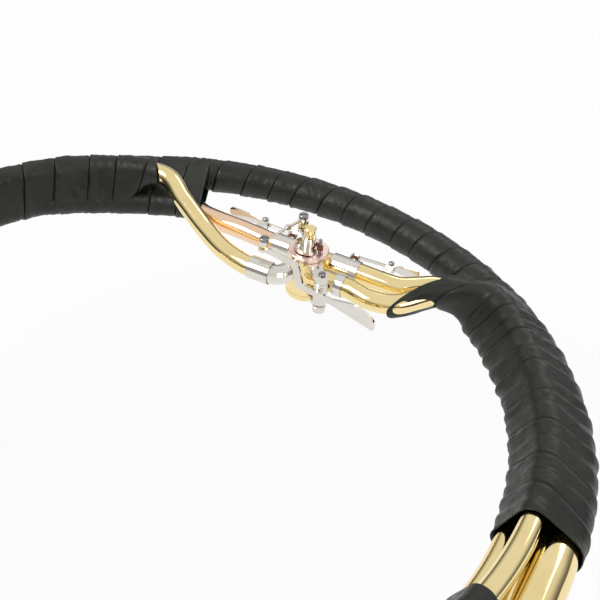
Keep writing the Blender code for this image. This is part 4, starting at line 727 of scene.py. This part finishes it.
def build_world():
    """White where the camera looks; for light and reflections a soft dome, darker near the horizon."""
    world = bpy.data.worlds.new("studio")
    bpy.context.scene.world = world
    world.use_nodes = True
    tree = world.node_tree
    back = tree.nodes["Background"]
    back.inputs["Color"].default_value = (1.0, 1.0, 1.0, 1.0)
    towards = node(tree, "ShaderNodeTexCoord").outputs["Generated"]
    up = node(tree, "ShaderNodeSeparateXYZ", {"Vector": towards}).outputs["Z"]
    dome = node(tree, "ShaderNodeMapRange", {
        "Value": up, "From Min": 0.05, "From Max": 0.55, "To Min": HORIZON_LEVEL, "To Max": ZENITH_LEVEL},
        interpolation_type="SMOOTHSTEP").outputs["Result"]
    path = node(tree, "ShaderNodeLightPath")
    level = node(tree, "ShaderNodeMix", {0: path.outputs["Is Camera Ray"], 2: dome, 3: 1.0}).outputs[0]
    tree.links.new(level, back.inputs["Strength"])


def area_light(name, place, size, power):
    data = bpy.data.lights.new(name, "AREA")
    data.shape = "RECTANGLE"
    data.size, data.size_y = size
    data.energy = power
    lamp = bpy.data.objects.new(name, data)
    lamp.location = place
    lamp.rotation_euler = (-Vector(place)).to_track_quat("-Z", "Y").to_euler()
    bpy.context.scene.collection.objects.link(lamp)


def build_lights():
    area_light("key_light", (-1.1, -0.9, 1.5), (1.2, 0.8), 16.0)
    area_light("fill_light", (1.5, -0.9, 0.9), (0.9, 0.9), 5.0)
    area_light("rim_light", (0.3, 1.7, 1.2), (1.6, 0.4), 5.0)


def build_camera():
    data = bpy.data.cameras.new("camera")
    data.sensor_width = SENSOR
    data.lens = CAMERA_LENS
    data.clip_start = 0.01
    camera = bpy.data.objects.new("camera", data)
    rise = math.radians(CAMERA_ELEVATION)
    heading = math.radians(CAMERA_HEADING)
    ahead = Vector((-math.sin(heading) * math.cos(rise), math.cos(heading) * math.cos(rise), -math.sin(rise)))
    camera.rotation_mode = "QUATERNION"
    roll = Quaternion((0.0, 0.0, 1.0), math.radians(CAMERA_ROLL))
    camera.rotation_quaternion = ahead.to_track_quat("-Z", "Y") @ roll
    camera.location = Vector(CAMERA_PLACE) - MIDDLE
    bpy.context.scene.collection.objects.link(camera)
    bpy.context.scene.camera = camera


dress_nodes()
throat_radius = build_tubes()
build_bell(throat_radius)
build_tape()
build_floor()
build_world()
build_lights()
build_camera()
bpy.context.scene.view_settings.view_transform = "Standard"
